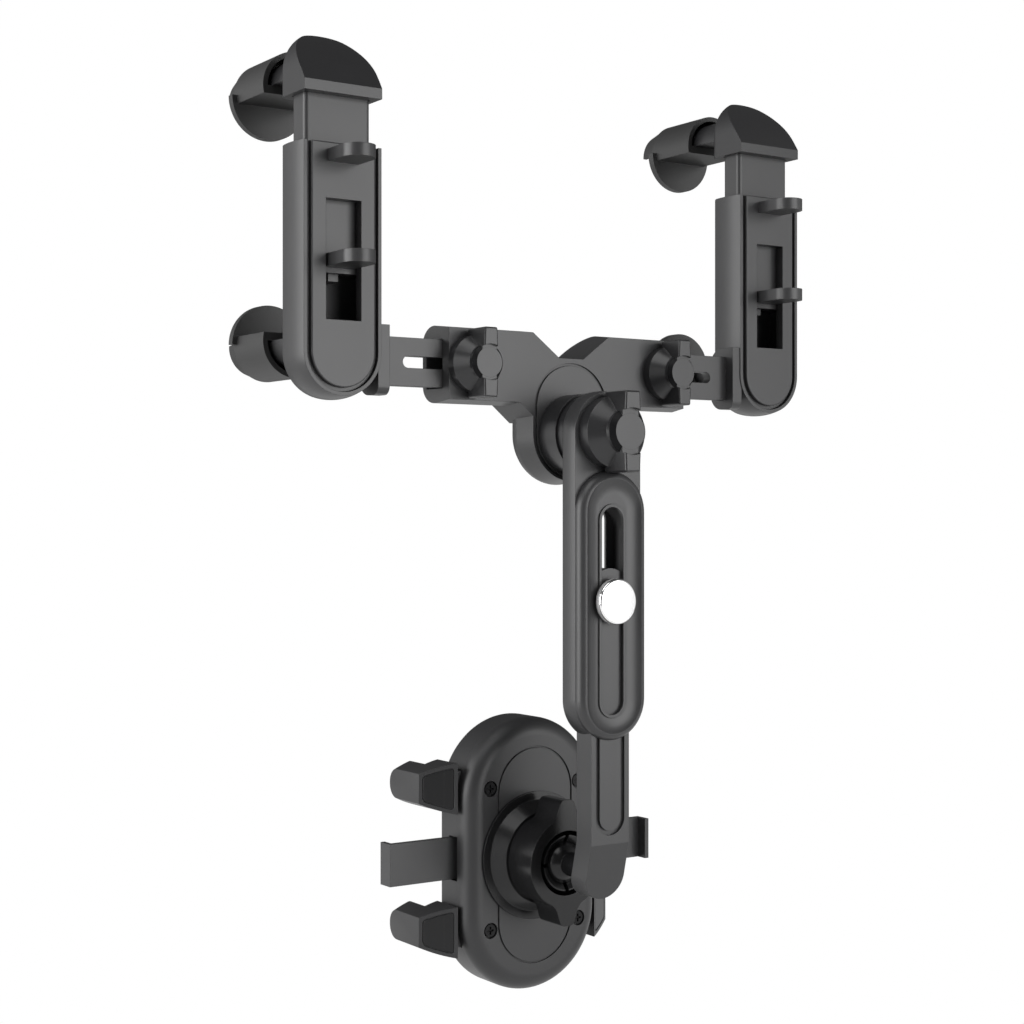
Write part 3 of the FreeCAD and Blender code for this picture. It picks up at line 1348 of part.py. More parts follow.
def pinion():
    """Small gear that makes the two slides move together."""
    body = new_body("pinion")
    low, high = slide_levels(-1)[0], slide_levels(1)[1]
    module = size.pinion_module
    pitch_radius = module * size.pinion_teeth / 2
    loop = []
    count = int(size.pinion_teeth.value)
    outer, inner = pitch_radius + 0.9 * module, pitch_radius - 1.2 * module
    for index in range(count):
        middle = 2 * math.pi * index / count + math.pi / 2
        for offset, radius in ((-0.66, inner), (-0.2, outer), (0.2, outer), (0.66, inner)):
            angle = middle + offset * math.pi / count
            loop.append((radius * math.cos(angle), cradle_z + radius * math.sin(angle)))
    add_slab(body, "Y", low, high, loop, (0, cradle_z, size.pinion_bore))
    return body


def claw(side, row_way, name):
    """Claw: sloping back, tapering sides and the finger that holds the phone's edge."""
    body = new_body("claw_" + name)
    row = cradle_z + row_way * size.claw_row_z
    half = size.claw_root_half
    root = size.claw_root_x
    outer = root + size.claw_slope_out
    back = parting - size.claw_lead
    knee = back + size.claw_slope_back
    tip = knee + size.finger_length
    finger = outer - size.finger_thickness
    face = cradle_face - 0.3
    corners = [(root, back), (outer, knee), (outer, tip), (finger, tip), (finger, face), (root, face)]
    loop = [(side * x, y) for x, y in corners]
    add_slab(body, "Z", row - half, row + half, loop if side > 0 else loop[::-1])
    round_edges(body, size.finger_tip_round,
                lambda edge: at_level(edge, 1, tip) and at_level(edge, 0, side * outer))
    edge_start, edge_end = (root, half), (outer, size.claw_tip_half)
    centre = swell_centre(edge_start, edge_end, size.claw_swell)
    past = size.overrun
    for way in (1, -1):
        turn = "cw" if side * way > 0 else "ccw"
        wedge = [(root, half, centre, turn), (outer, size.claw_tip_half), (outer + past, size.claw_tip_half),
                 (outer + past, half + past), (root, half + past)]
        cut_slab(body, "Y", back - past, tip + past, [turned_corner(corner, side, row, way) for corner in wedge])
    low, high = slide_levels(side)
    gap = size.claw_socket_gap
    arm_half = size.slide_arm_height / 2 + gap
    end = side * (size.slide_arm_end + gap)
    start = side * (root - 1)
    cut_slab(body, "Y", low - gap, high + gap,
             box_loop(min_size(start, end), max_size(start, end), row - arm_half, row + arm_half))
    return body


def turned_corner(corner, side, row, way):
    """Place a corner that is given outwards from the cradle's middle and away from the claw's row."""
    spot = (side * corner[0], row + way * corner[1])
    if len(corner) == 2:
        return spot
    centre, turn = corner[2:]
    return spot + (side * centre[0], row + way * centre[1], turn)


def front_pad():
    """Rubber pad that the phone's back rests on."""
    body = new_body("front_pad")
    rise = size.front_pad_half_height - size.front_pad_half_width
    add_slab(body, "Y", cradle_face, cradle_face + size.front_pad_thickness,
             upright_slot(as_size(0), cradle_z - rise, cradle_z + rise, size.front_pad_half_width))
    return body


# The whole mount


def build_clamps():
    """Both clamps, left and right."""
    for side, name in ((-1, "left"), (1, "right")):
        clamp_housing(side, name)
        clamp_cover(side, name)
        clamp_slider(side, name)
        upper_jaw(side, name)
        lower_jaw(side, name)
        jaw_pad(side, name, 1)
        jaw_pad(side, name, -1)
        jaw_spring(side, name)


def build_yoke():
    """Yoke with its hub, bolts and knobs."""
    yoke()
    hub_drum()
    friction_washer()
    hub_tip = arm_front - size.hub_knob_rim_height
    bolt("hub_bolt", 0, hub_z, size.hub_bolt_radius, size.bolt_head_radius, boss_back, hub_tip)
    for side, name in ((-1, "left"), (1, "right")):
        bolt("knob_bolt_" + name, side * size.knob_x, rail_z, size.knob_bolt_radius,
             size.knob_bolt_head_radius, yoke_back, yoke_front - size.knob_rim_height)
        knob(name + "_knob", side * size.knob_x, rail_z, yoke_front - size.running_gap, "knob",
             size.knob_bolt_radius, size.knob_rim_height)
    knob("hub_knob", as_size(0), hub_z, arm_front - size.running_gap, "hub_knob",
         size.hub_bolt_radius, size.hub_knob_rim_height)


def knob(label, across, height, base, key, bolt_radius, bolt_length):
    """Wing knob with the blind hole for its bolt."""
    body = wing_knob(label, across, height, base, key)
    cut_slab(body, "Y", base - bolt_length - 0.2, base + 1,
             (across, height, bolt_radius + size.bolt_clearance))


def build_arm():
    """Arm, lower bar and the ball joint."""
    arm()
    lower_bar()
    thumb_screw()
    ball_stud()
    ball_collar()
    ball_nut()


def build_cradle():
    """Cradle with its slides, claws and pinion."""
    back_shell()
    front_shell()
    shell_screws()
    front_pad()
    pinion()
    for side, name in ((-1, "left"), (1, "right")):
        claw_slide(side, name)
        claw(side, 1, name + "_upper")
        claw(side, -1, name + "_lower")


def check_and_write():
    """Check every object, then write one file for each piece."""
    doc.recompute()
    for item in doc.Objects:
        if "Invalid" in item.State or "Error" in item.State:
            raise ValueError(item.Label + " failed to build")
    for item in finished:
        if item.Shape.isNull() or not item.Shape.isValid():
            raise ValueError(item.Label + " has no valid shape")
    for item in finished:
        item.Shape.exportStep("parts/" + item.Label + ".step")
        print(item.Label, len(item.Shape.Solids), round(item.Shape.Volume, 1))


build_clamps()
build_yoke()
build_arm()
build_cradle()
check_and_write()
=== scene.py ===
"""Looks of the mirror phone mount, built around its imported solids."""

import json
import math

import bmesh
import bpy
from bpy.props import FloatProperty, FloatVectorProperty, IntProperty, PointerProperty
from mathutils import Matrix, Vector


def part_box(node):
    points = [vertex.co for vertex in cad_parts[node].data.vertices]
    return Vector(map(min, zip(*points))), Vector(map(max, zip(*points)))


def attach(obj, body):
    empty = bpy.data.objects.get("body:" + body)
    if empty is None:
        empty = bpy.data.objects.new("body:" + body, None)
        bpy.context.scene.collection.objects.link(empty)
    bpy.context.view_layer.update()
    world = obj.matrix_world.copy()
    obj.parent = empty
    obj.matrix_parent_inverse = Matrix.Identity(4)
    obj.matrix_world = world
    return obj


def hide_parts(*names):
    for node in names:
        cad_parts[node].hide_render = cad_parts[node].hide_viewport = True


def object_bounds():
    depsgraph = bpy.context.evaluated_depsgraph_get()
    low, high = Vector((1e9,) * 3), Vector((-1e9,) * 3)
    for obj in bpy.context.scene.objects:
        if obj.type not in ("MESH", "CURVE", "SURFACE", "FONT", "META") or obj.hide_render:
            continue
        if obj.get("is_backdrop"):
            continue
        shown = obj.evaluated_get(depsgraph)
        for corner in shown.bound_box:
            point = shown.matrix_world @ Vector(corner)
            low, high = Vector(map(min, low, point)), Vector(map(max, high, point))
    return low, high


bl_info = {
    "name": "Mirror phone mount",
    "version": (1, 0, 0),
    "blender": (4, 5, 0),
    "location": "View3D > Sidebar > Mount",
    "description": "Finishes and small pieces of a phone mount that grips a rear-view mirror",
    "category": "Object",
}

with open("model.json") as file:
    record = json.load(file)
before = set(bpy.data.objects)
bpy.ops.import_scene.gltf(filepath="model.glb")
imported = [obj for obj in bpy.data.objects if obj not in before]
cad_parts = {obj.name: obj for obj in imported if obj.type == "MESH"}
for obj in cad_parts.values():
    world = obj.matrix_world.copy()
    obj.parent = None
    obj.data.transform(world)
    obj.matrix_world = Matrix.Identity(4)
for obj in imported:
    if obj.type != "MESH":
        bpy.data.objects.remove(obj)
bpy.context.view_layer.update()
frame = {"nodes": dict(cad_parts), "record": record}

MILLIMETRE = 0.001

# A claw's inner face lies this far under the cradle's face on the phone's side.
FACE_DROP = 0.3 * MILLIMETRE
FINGER_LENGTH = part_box("claw_left_upper")[1][1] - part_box("front_shell")[1][1] + FACE_DROP

# Points nearer than SAME_POINT are one, and CUT_REACH is a cut's own tolerance.
SAME_POINT = 1e-6
CUT_REACH = 1e-7
SAME_LEVEL = 1e-5

# A face looks along an axis when its normal's part along it is over FACING.
FACING = 0.9
SLOPE_BACK = -0.7
SLOPE_SIDE = 0.4
SIDE_OF_TURNING = 0.1

# Curves are made of this many flat steps.
SCREW_STEPS = 72
SCREW_RIM_STEPS = 5
COLLAR_STEPS = 64
PLATE_STEPS = 32
FINGER_END_STEPS = 8
CLAW_EDGE_STEPS = 3
PANEL_CORNER_STEPS = 4
SMOOTH_ANGLE = math.radians(30)

# The groove round a claw's panel: each step's share of the groove's depth, inwards and up.
GROOVE_STEPS = ((0.3, -1.0), (0.5, 0.0), (0.3, 0.8))

# A collar's band, a thin dark sheet of painted shade, is rooted this many of its lifts inside the knob.
COLLAR_ROOT = 3

# The moulded plastics: name, colour, how much rougher than the shells, share of their grain and of
# their edge rounding, and specular level.
PLASTICS = (
    ("shell_black", "shell_colour", 0.0, 1.0, 1.0, 0.5),
    # The cradle's black is darker than the shells': painted shade on the cradle's shells and the claws.
    ("cradle_black", "cradle_shaded_colour", 0.06, 1.0, 1.0, 0.5),
    ("joint_black", "joint_colour", -0.14, 0.5, 1.0, 0.35),
    # The knobs' collar bands are near-black and dull: painted shade behind the caps.
    ("collar_black", "trim_and_shade_colour", 0.0, 0.5, 1.0, 0.1),
    # The claws' panels are near-black: painted shade on their sloping backs.
    ("panel_black", "trim_and_shade_colour", 0.0, 1.0, 1.0, 0.4),
    ("screw_black", "joint_colour", 0.0, 1.0, 0.5, 0.15),
    ("satin_black", "knob_colour", -0.06, 0.5, 1.0, 0.5),
    ("soft_rubber", "rubber_colour", 0.1, 1.0, 1.0, 0.5),
)
PLATE_GRAIN = 0.2
PLATE_SPECULAR = 0.3

# The metals: name, colour and roughness.
METALS = (
    ("bright_chrome", (0.95, 0.95, 0.95), 0.08),
    ("brushed_chrome", (0.95, 0.95, 0.95), 0.6),
    ("dark_steel", (0.12, 0.12, 0.125), 0.35),
)

# The finish of each material slot, and of the nodes that have one of their own.
SLOT_FINISH = {
    "shell_plastic": "shell_black",
    "satin_plastic": "satin_black",
    "smooth_plastic": "shell_black",
    "cap_plastic": "satin_black",
    "soft_rubber": "soft_rubber",
    "dark_steel": "dark_steel",
    "bright_chrome": "bright_chrome",
}
NODE_FINISH = {
    # The cradle's shells take the darker black, which is painted shade.
    "back_shell": "cradle_black",
    "front_shell": "cradle_black",
    "ball_nut": "joint_black",
    "ball_collar": "joint_black",
    "ball_stud": "joint_black",
    "shell_screws": "screw_black",
}

# The grain stands in the bump, and the mottle varies gloss and colour by these shares.
GRAIN_SCALE = 1400.0
GRAIN_DETAIL = 3.0
GRAIN_DEPTH = 0.05 * MILLIMETRE
MOTTLE_SCALE = 45.0
MOTTLE_DETAIL = 4.0
MOTTLE_GLOSS = 0.03
MOTTLE_TINT = 0.1
EDGE_SAMPLES = 6
METAL_SCALE = 300.0
METAL_DETAIL = 2.0
METAL_GLOSS = 0.2

# The lights: name, place, width and height. All look at LIT_POINT.
LIGHTS = (
    ("front_light", (0.41, -1.265, -0.05), 1.05, 1.1),
    ("side_light", (-1.27, 0.25, 0.1), 1.2, 1.0),
    ("top_light", (-0.5, -0.2, 1.1), 1.0, 1.0),
)
LIT_POINT = (0, 0, -0.1)

# In reflections the studio is white both ways along BAND_WAY and falls off to its dark flanks.
BAND_WAY = (0.766, -0.643, 0.0)
BAND_POWER = 4.0
DARK_FLANK = 0.10

FRAME_WIDTH = 36.0
NEAREST_SEEN = 0.01
FLOOR_HALF = 0.8
FLOOR_COLOUR = (0.70, 0.70, 0.70, 1)
FLOOR_ROUGH = 0.9
WHITE = (1, 1, 1, 1)


# Settings


class MountStage(bpy.types.PropertyGroup):
    """Camera, floor and lights."""

    camera_place: FloatVectorProperty(
        name="Camera place", description="Where the camera stands", subtype="TRANSLATION",
        default=(-0.4005, -0.5697, -0.1035))
    camera_turn: FloatProperty(
        name="Camera turn", description="How far the camera is turned to the right of straight ahead",
        default=math.radians(34), subtype="ANGLE")
    lens: FloatProperty(name="Lens", description="Focal length on a 36 mm frame", default=64.6)
    floor_drop: FloatProperty(
        name="Floor drop", description="Floor below the lowest piece", default=0.06, subtype="DISTANCE")
    ambient: FloatProperty(
        name="Ambient", description="Light from all round on matte surfaces", default=0.25)
    front_light: FloatProperty(
        name="Front light", description="Power of the large front light", default=14.0)
    side_light: FloatProperty(
        name="Side light", description="Power of the light on the left side", default=17.0)
    top_light: FloatProperty(
        name="Top light", description="Power of the light overhead", default=7.0)


class MountFinish(bpy.types.PropertyGroup):
    """Colours and gloss of the finishes."""

    shell_colour: FloatVectorProperty(
        name="Shells", description="Clamps, yoke, arm and push strips", subtype="COLOR", size=3,
        min=0, max=1, default=(0.030, 0.030, 0.031))
    # Black plastic, made darker than the shells' as painted shade on the cradle's shells and the claws.
    cradle_shaded_colour: FloatVectorProperty(
        name="Cradle", description="Cradle's shells and the claws", subtype="COLOR", size=3,
        min=0, max=1, default=(0.020, 0.020, 0.021))
    knob_colour: FloatVectorProperty(
        name="Knobs", description="Knobs, hub and the upper jaws' caps", subtype="COLOR", size=3,
        min=0, max=1, default=(0.016, 0.016, 0.017))
    joint_colour: FloatVectorProperty(
        name="Ball joint", description="Ring nut, collar, ball and shell screws", subtype="COLOR",
        size=3, min=0, max=1, default=(0.008, 0.008, 0.0085))
    # Near-black: the cap plates' own colour, and painted shade on the claws' panels and on the knobs'
    # collar bands.
    trim_and_shade_colour: FloatVectorProperty(
        name="Trim", description="Plates on the caps, panels on the claws and the knobs' collars",
        subtype="COLOR", size=3, min=0, max=1, default=(0.005, 0.005, 0.0055))
    rubber_colour: FloatVectorProperty(
        name="Rubber", description="Jaws' sleeves and the cradle's pad", subtype="COLOR", size=3,
        min=0, max=1, default=(0.022, 0.022, 0.022))
    plastic_rough: FloatProperty(
        name="Plastic roughness", description="Roughness of the shells' moulding", default=0.37,
        min=0, max=1)
    gloss_rough: FloatProperty(
        name="Gloss roughness", description="Roughness of the plates on the caps", default=0.16,
        min=0, max=1)
    grain: FloatProperty(
        name="Grain", description="Depth of the moulded grain", default=0.05, min=0, max=1)
    edge_round: FloatProperty(
        name="Edge rounding", description="Rounding that catches light along the mouldings' edges",
        default=0.25 * MILLIMETRE, subtype="DISTANCE")


class MountSizes(bpy.types.PropertyGroup):
    """Sizes of the pieces made here."""

    screw_head: FloatProperty(
        name="Screw head", description="Height of the thumb screw's head",
        default=3.6 * MILLIMETRE, subtype="DISTANCE")
    screw_shank: FloatProperty(
        name="Screw shank", description="Radius of the thumb screw's shank",
        default=2.5 * MILLIMETRE, subtype="DISTANCE")
    screw_round: FloatProperty(
        name="Screw rim", description="Rounding of the thumb screw's rim",
        default=1.0 * MILLIMETRE, subtype="DISTANCE")
    claw_round: FloatProperty(
        name="Finger end", description="Rounding of a finger's upper and lower end",
        default=5.0 * MILLIMETRE, subtype="DISTANCE")
    claw_edge: FloatProperty(
        name="Claw edge", description="Rounding of a claw's outer edges",
        default=0.7 * MILLIMETRE, subtype="DISTANCE")
    claw_finger: FloatProperty(
        name="Finger thickness", description="Thickness of a claw's finger",
        default=6.4 * MILLIMETRE, subtype="DISTANCE")
    claw_finger_length: FloatProperty(
        name="Finger length", description="Finger from a claw's inner face to its end",
        default=FINGER_LENGTH, subtype="DISTANCE")
    claw_slope_back: FloatProperty(
        name="Claw slope", description="How far a claw's back slopes towards the phone",
        default=8.6 * MILLIMETRE, subtype="DISTANCE")
    claw_root_half: FloatProperty(
        name="Claw root", description="Half a claw's height at its root",
        default=9.6 * MILLIMETRE, subtype="DISTANCE")
    claw_tip_half: FloatProperty(
        name="Claw tip", description="Half a claw's height at its finger",
        default=5.6 * MILLIMETRE, subtype="DISTANCE")
    claw_swell: FloatProperty(
        name="Claw swell", description="How far a claw's upper and lower edges swell out",
        default=0.5 * MILLIMETRE, subtype="DISTANCE")
    claw_cuts: IntProperty(
        name="Claw cuts", description="Steps along a claw's swelling edges", default=8, min=2)
    panel_edge: FloatProperty(
        name="Panel border", description="Border round a claw's panel",
        default=1.3 * MILLIMETRE, subtype="DISTANCE")
    panel_corner: FloatProperty(
        name="Panel corner", description="Rounding of a claw panel's corners",
        default=1.4 * MILLIMETRE, subtype="DISTANCE")
    groove: FloatProperty(
        name="Panel groove", description="Depth of the groove round a claw's panel",
        default=0.45 * MILLIMETRE, subtype="DISTANCE")
    small_collar: FloatVectorProperty(
        name="Small collars",
        description="Small knobs' cap radius, collar radius, collar depth and wings' stand",
        size=4, unit="LENGTH", default=[5.35e-3, 6.5e-3, 1.5e-3, 1.3e-3])
    hub_collar: FloatVectorProperty(
        name="Hub collar",
        description="Hub knob's cap radius, collar radius, collar depth and wings' stand",
        size=4, unit="LENGTH", default=[6.5e-3, 8.1e-3, 1.9e-3, 1.8e-3])
    collar_lift: FloatProperty(
        name="Collar lift", description="How far a collar's band stands out",
        default=0.05 * MILLIMETRE, subtype="DISTANCE")
    cap_straight: FloatProperty(
        name="Cap foot", description="Slope's foot below the middle of a cap's round top",
        default=5.3 * MILLIMETRE, subtype="DISTANCE")
    cap_back: FloatProperty(
        name="Cap back", description="Where a cap's slope ends at the back",
        default=1.5 * MILLIMETRE, subtype="DISTANCE")
    cap_swell: FloatProperty(
        name="Cap swell", description="How far a cap's slope swells out",
        default=1.2 * MILLIMETRE, subtype="DISTANCE")
    plate_edge: FloatProperty(
        name="Plate border", description="Border round a cap's plate",
        default=1.5 * MILLIMETRE, subtype="DISTANCE")
    plate_lift: FloatProperty(
        name="Plate lift", description="How far a cap's plate stands out",
        default=0.25 * MILLIMETRE, subtype="DISTANCE")
    plate_cuts: IntProperty(
        name="Plate cuts", description="Steps over a cap's slope", default=16, min=2)


# Materials


def new_material(name):
    """Start a node material and give back its nodes, links and shader too."""
    material = bpy.data.materials.new(name)
    material.use_nodes = True
    nodes = material.node_tree.nodes
    return material, nodes, material.node_tree.links, nodes["Principled BSDF"]


def add_noise(nodes, links, place, scale, detail):
    """Add a noise that is fixed to the piece."""
    noise = nodes.new("ShaderNodeTexNoise")
    noise.inputs["Scale"].default_value = scale
    noise.inputs["Detail"].default_value = detail
    links.new(place.outputs["Object"], noise.inputs["Vector"])
    return noise


def vary_gloss(nodes, links, noise, shader, least, most):
    """Let the roughness drift between two values with a noise."""
    gloss = nodes.new("ShaderNodeMapRange")
    gloss.inputs["To Min"].default_value = least
    gloss.inputs["To Max"].default_value = most
    links.new(noise.outputs["Fac"], gloss.inputs["Value"])
    links.new(gloss.outputs["Result"], shader.inputs["Roughness"])


def moulded_plastic(name, colour, rough, grain, edge, specular):
    """Black moulding: soft edges, fine grain in the bump, faint mottle in gloss and colour."""
    material, nodes, links, shader = new_material(name)
    place = nodes.new("ShaderNodeTexCoord")
    speck = add_noise(nodes, links, place, GRAIN_SCALE, GRAIN_DETAIL)
    cloud = add_noise(nodes, links, place, MOTTLE_SCALE, MOTTLE_DETAIL)
    vary_gloss(nodes, links, cloud, shader, rough - MOTTLE_GLOSS, rough + MOTTLE_GLOSS)
    tint = nodes.new("ShaderNodeMix")
    tint.data_type = "RGBA"
    tint.inputs["A"].default_value = (*[part * (1 - MOTTLE_TINT) for part in colour], 1)
    tint.inputs["B"].default_value = (*[part * (1 + MOTTLE_TINT) for part in colour], 1)
    links.new(cloud.outputs["Fac"], tint.inputs["Factor"])
    links.new(tint.outputs["Result"], shader.inputs["Base Color"])
    soft_edge = nodes.new("ShaderNodeBevel")
    soft_edge.samples = EDGE_SAMPLES
    soft_edge.inputs["Radius"].default_value = edge
    bump = nodes.new("ShaderNodeBump")
    bump.inputs["Strength"].default_value = grain
    bump.inputs["Distance"].default_value = GRAIN_DEPTH
    links.new(speck.outputs["Fac"], bump.inputs["Height"])
    links.new(soft_edge.outputs["Normal"], bump.inputs["Normal"])
    links.new(bump.outputs["Normal"], shader.inputs["Normal"])
    shader.inputs["Specular IOR Level"].default_value = specular
    return material


def bright_metal(name, colour, rough):
    """Metal with small changes in its gloss."""
    material, nodes, links, shader = new_material(name)
    place = nodes.new("ShaderNodeTexCoord")
    speck = add_noise(nodes, links, place, METAL_SCALE, METAL_DETAIL)
    vary_gloss(nodes, links, speck, shader, rough * (1 - METAL_GLOSS), rough * (1 + METAL_GLOSS))
    shader.inputs["Base Color"].default_value = (*colour, 1)
    shader.inputs["Metallic"].default_value = 1.0
    return material


def paint(obj, material):
    """Give a whole object one material."""
    obj.data.materials.clear()
    obj.data.materials.append(material)


class MOUNT_OT_finishes(bpy.types.Operator):
    """Finish every solid of the frame"""

    bl_idname = "mount.finishes"
    bl_label = "Finishes"

    def execute(self, context):
        finish = context.scene.mount_finish
        looks = {name: moulded_plastic(name, tuple(getattr(finish, colour)),
                                       finish.plastic_rough + rougher, finish.grain * grain,
                                       finish.edge_round * edge, specular)
                 for name, colour, rougher, grain, edge, specular in PLASTICS}
        moulded_plastic("plate_gloss", tuple(finish.trim_and_shade_colour), finish.gloss_rough,
                        finish.grain * PLATE_GRAIN, finish.edge_round, PLATE_SPECULAR)
        looks.update((name, bright_metal(name, colour, rough)) for name, colour, rough in METALS)
        for row in frame["record"]["subparts"]:
            node = row["node"]
            paint(frame["nodes"][node], looks[NODE_FINISH.get(node, SLOT_FINISH[row["material_slot"]])])
        return {"FINISHED"}


# Pieces


def add_piece(name, form, materials, body):
    """Turn a bmesh into a piece with smooth rounds and crisp edges, riding on a body."""
    mesh = bpy.data.meshes.new(name)
    form.to_mesh(mesh)
    form.free()
    mesh.shade_smooth()
    mesh.set_sharp_from_angle(angle=SMOOTH_ANGLE)
    piece = bpy.data.objects.new(name, mesh)
    bpy.context.scene.collection.objects.link(piece)
    for material in materials:
        mesh.materials.append(bpy.data.materials[material])
    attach(piece, body)
    return piece


def turned(middle, profile, steps, closed):
    """Spin an outline of radius and Y about an axis along Y."""
    form = bmesh.new()
    dots = [form.verts.new(middle + Vector((reach, y, 0))) for reach, y in profile]
    following = dots[1:] + (dots[:1] if closed else [])
    edges = [form.edges.new(pair) for pair in zip(dots, following)]
    bmesh.ops.spin(form, geom=dots + edges, cent=middle, axis=(0, 1, 0), angle=math.tau,
                   steps=steps, use_merge=True)
    bmesh.ops.remove_doubles(form, verts=form.verts, dist=SAME_POINT)
    bmesh.ops.recalc_face_normals(form, faces=form.faces)
    return form


def cut_across(form, place, normal):
    """Divide every face that a plane crosses, so that the form can bend there."""
    bmesh.ops.bisect_plane(form, geom=form.verts[:] + form.edges[:] + form.faces[:],
                           dist=CUT_REACH, plane_co=place, plane_no=normal)


class MOUNT_OT_thumb_screw(bpy.types.Operator):
    """Turn the bright thumb screw, with a rounded rim"""

    bl_idname = "mount.thumb_screw"
    bl_label = "Thumb screw"

    def execute(self, context):
        sizes = context.scene.mount_sizes
        low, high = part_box("thumb_screw")
        radius = (high[0] - low[0]) / 2
        middle = Vector((low[0] + radius, 0, low[2] + radius))
        head_back = low[1] + sizes.screw_head
        profile = [(0, low[1]), (radius, low[1]), (radius, head_back), (sizes.screw_shank, head_back),
                   (sizes.screw_shank, high[1]), (0, high[1])]
        form = turned(middle, profile, SCREW_STEPS, closed=False)

        def on_rim(dot):
            from_axis = dot.co - middle - Vector((0, dot.co.y, 0))
            return abs(from_axis.length - radius) < SAME_LEVEL

        rims = [edge for edge in form.edges if all(on_rim(dot) for dot in edge.verts)
                and abs(edge.verts[0].co.y - edge.verts[1].co.y) < SAME_POINT]
        bmesh.ops.bevel(form, geom=rims, offset=sizes.screw_round, offset_type="OFFSET",
                        segments=SCREW_RIM_STEPS, profile=0.5, affect="EDGES", material=-1)
        for face in form.faces:
            face.material_index = 1 if abs(face.normal.y) < SIDE_OF_TURNING else 0
        piece = add_piece("thumb_screw_turned", form, ("bright_chrome", "brushed_chrome"),
                          "thumb_screw")
        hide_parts("thumb_screw")
        return {"FINISHED"}


class MOUNT_OT_claws(bpy.types.Operator):
    """Round the claws' fingers and sink a near-black panel, painted shade, in each sloping back"""

    bl_idname = "mount.claws"
    bl_label = "Claws"

    def execute(self, context):
        for side in ("left", "right"):
            for row in ("upper", "lower"):
                self.claw("claw_" + side + "_" + row, side + "_claws", context.scene.mount_sizes)
        return {"FINISHED"}

    def claw(self, node, body, sizes):
        """Model one claw in the place of its solid."""
        low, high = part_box(node)
        side = 1 if low[0] > 0 else -1
        mid_level = (low[2] + high[2]) / 2
        root, outer = sorted((abs(low[0]), abs(high[0])))
        width = outer - root
        back, tip = low[1], high[1]
        knee = back + sizes.claw_slope_back
        finger = outer - sizes.claw_finger
        face_level = tip - sizes.claw_finger_length
        outline = [(root, back), (outer, knee), (outer, tip), (finger, tip), (finger, face_level),
                   (root, face_level)]
        slant = (sizes.claw_root_half - sizes.claw_tip_half) / width

        def half_height(x):
            return sizes.claw_root_half - slant * (x - root)

        form = bmesh.new()
        top = form.faces.new([form.verts.new((side * x, y, mid_level + half_height(x)))
                              for x, y in outline])
        under = bmesh.ops.extrude_face_region(form, geom=[top])
        for dot in (item for item in under["geom"] if isinstance(item, bmesh.types.BMVert)):
            dot.co.z = 2 * mid_level - dot.co.z
        bmesh.ops.recalc_face_normals(form, faces=form.faces)
        self.sink_panel(form, sizes)
        finger_ends = [edge for edge in self.edges_between(
            form, lambda face: abs(face.normal.z) > FACING, lambda face: face.normal.y > FACING)
            if all(abs(dot.co.y - tip) < SAME_LEVEL for dot in edge.verts)]
        self.round_edges(form, finger_ends, sizes.claw_round, FINGER_END_STEPS)
        outer_edges = self.edges_between(form, lambda face: side * face.normal.x > FACING,
                                         lambda face: side * face.normal.x < FACING)
        self.round_edges(form, outer_edges, sizes.claw_edge, CLAW_EDGE_STEPS)
        for cut in range(1, sizes.claw_cuts):
            cut_across(form, (side * (root + width * cut / sizes.claw_cuts), 0, 0), (1, 0, 0))
        for dot in form.verts:
            x = side * dot.co.x
            along = (x - root) / width
            swell = 4 * along * (1 - along) * sizes.claw_swell
            dot.co.z = mid_level + (dot.co.z - mid_level) * (1 + swell / half_height(x))
        # The claw's body takes the cradle's darker black and its panel the near-black trim, both
        # painted shade.
        piece = add_piece(node + "_moulded", form, ("cradle_black", "panel_black"), body)
        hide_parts(node)

    def edges_between(self, form, is_one, is_other):
        """Find the edges between two kinds of faces."""
        return [edge for edge in form.edges if len(edge.link_faces) == 2
                and any(is_one(face) for face in edge.link_faces)
                and any(is_other(face) for face in edge.link_faces)]

    def round_edges(self, form, edges, radius, steps):
        """Round a claw's edges."""
        bmesh.ops.bevel(form, geom=edges, offset=radius, offset_type="OFFSET", segments=steps,
                        profile=0.5, affect="EDGES", material=-1, clamp_overlap=True)

    def sink_panel(self, form, sizes):
        """Cut a groove round a rounded panel on the sloping back, and give the panel the near-black
        trim as painted shade.
        """
        def sloping():
            return [face for face in form.faces
                    if face.normal.y < SLOPE_BACK and abs(face.normal.x) > SLOPE_SIDE]

        slope = sloping()[0]
        bmesh.ops.inset_region(form, faces=[slope], thickness=sizes.panel_edge, depth=0,
                               use_even_offset=True)
        bmesh.ops.bevel(form, geom=list(slope.verts), offset=sizes.panel_corner, offset_type="OFFSET",
                        segments=PANEL_CORNER_STEPS, profile=0.5, affect="VERTICES", material=-1)
        panel = max(sloping(), key=lambda face: face.calc_area())
        for inward, up in GROOVE_STEPS:
            bmesh.ops.inset_region(form, faces=[panel], thickness=sizes.groove * inward,
                                   depth=sizes.groove * up, use_even_offset=True)
        # The near-black panel is painted shade on the sloping back.
        panel.material_index = 1


class MOUNT_OT_knob_collars(bpy.types.Operator):
    """Lay a thin near-black band, painted shade, on the sloping collar behind each knob's cap"""

    bl_idname = "mount.knob_collars"
    bl_label = "Knob collars"

    def execute(self, context):
        sizes = context.scene.mount_sizes
        lift = sizes.collar_lift
        rooted = COLLAR_ROOT * lift
        small, large = tuple(sizes.small_collar), tuple(sizes.hub_collar)
        for knob, measures in (("left_knob", small), ("right_knob", small), ("hub_knob", large)):
            cap, collar, depth, stand = measures
            low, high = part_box(knob)
            middle = Vector(((low[0] + high[0]) / 2, 0, (low[2] + high[2]) / 2))
            front = low[1] + stand
            profile = [(cap - rooted, front + rooted), (cap, front - lift / 2),
                       (collar + lift, front + depth), (collar - rooted, front + depth)]
            ring = turned(middle, profile, COLLAR_STEPS, closed=True)
            # The band is a thin dark sheet on the knob: painted shade behind the cap.
            add_piece(knob + "_collar", ring, ("collar_black",), knob)
        return {"FINISHED"}


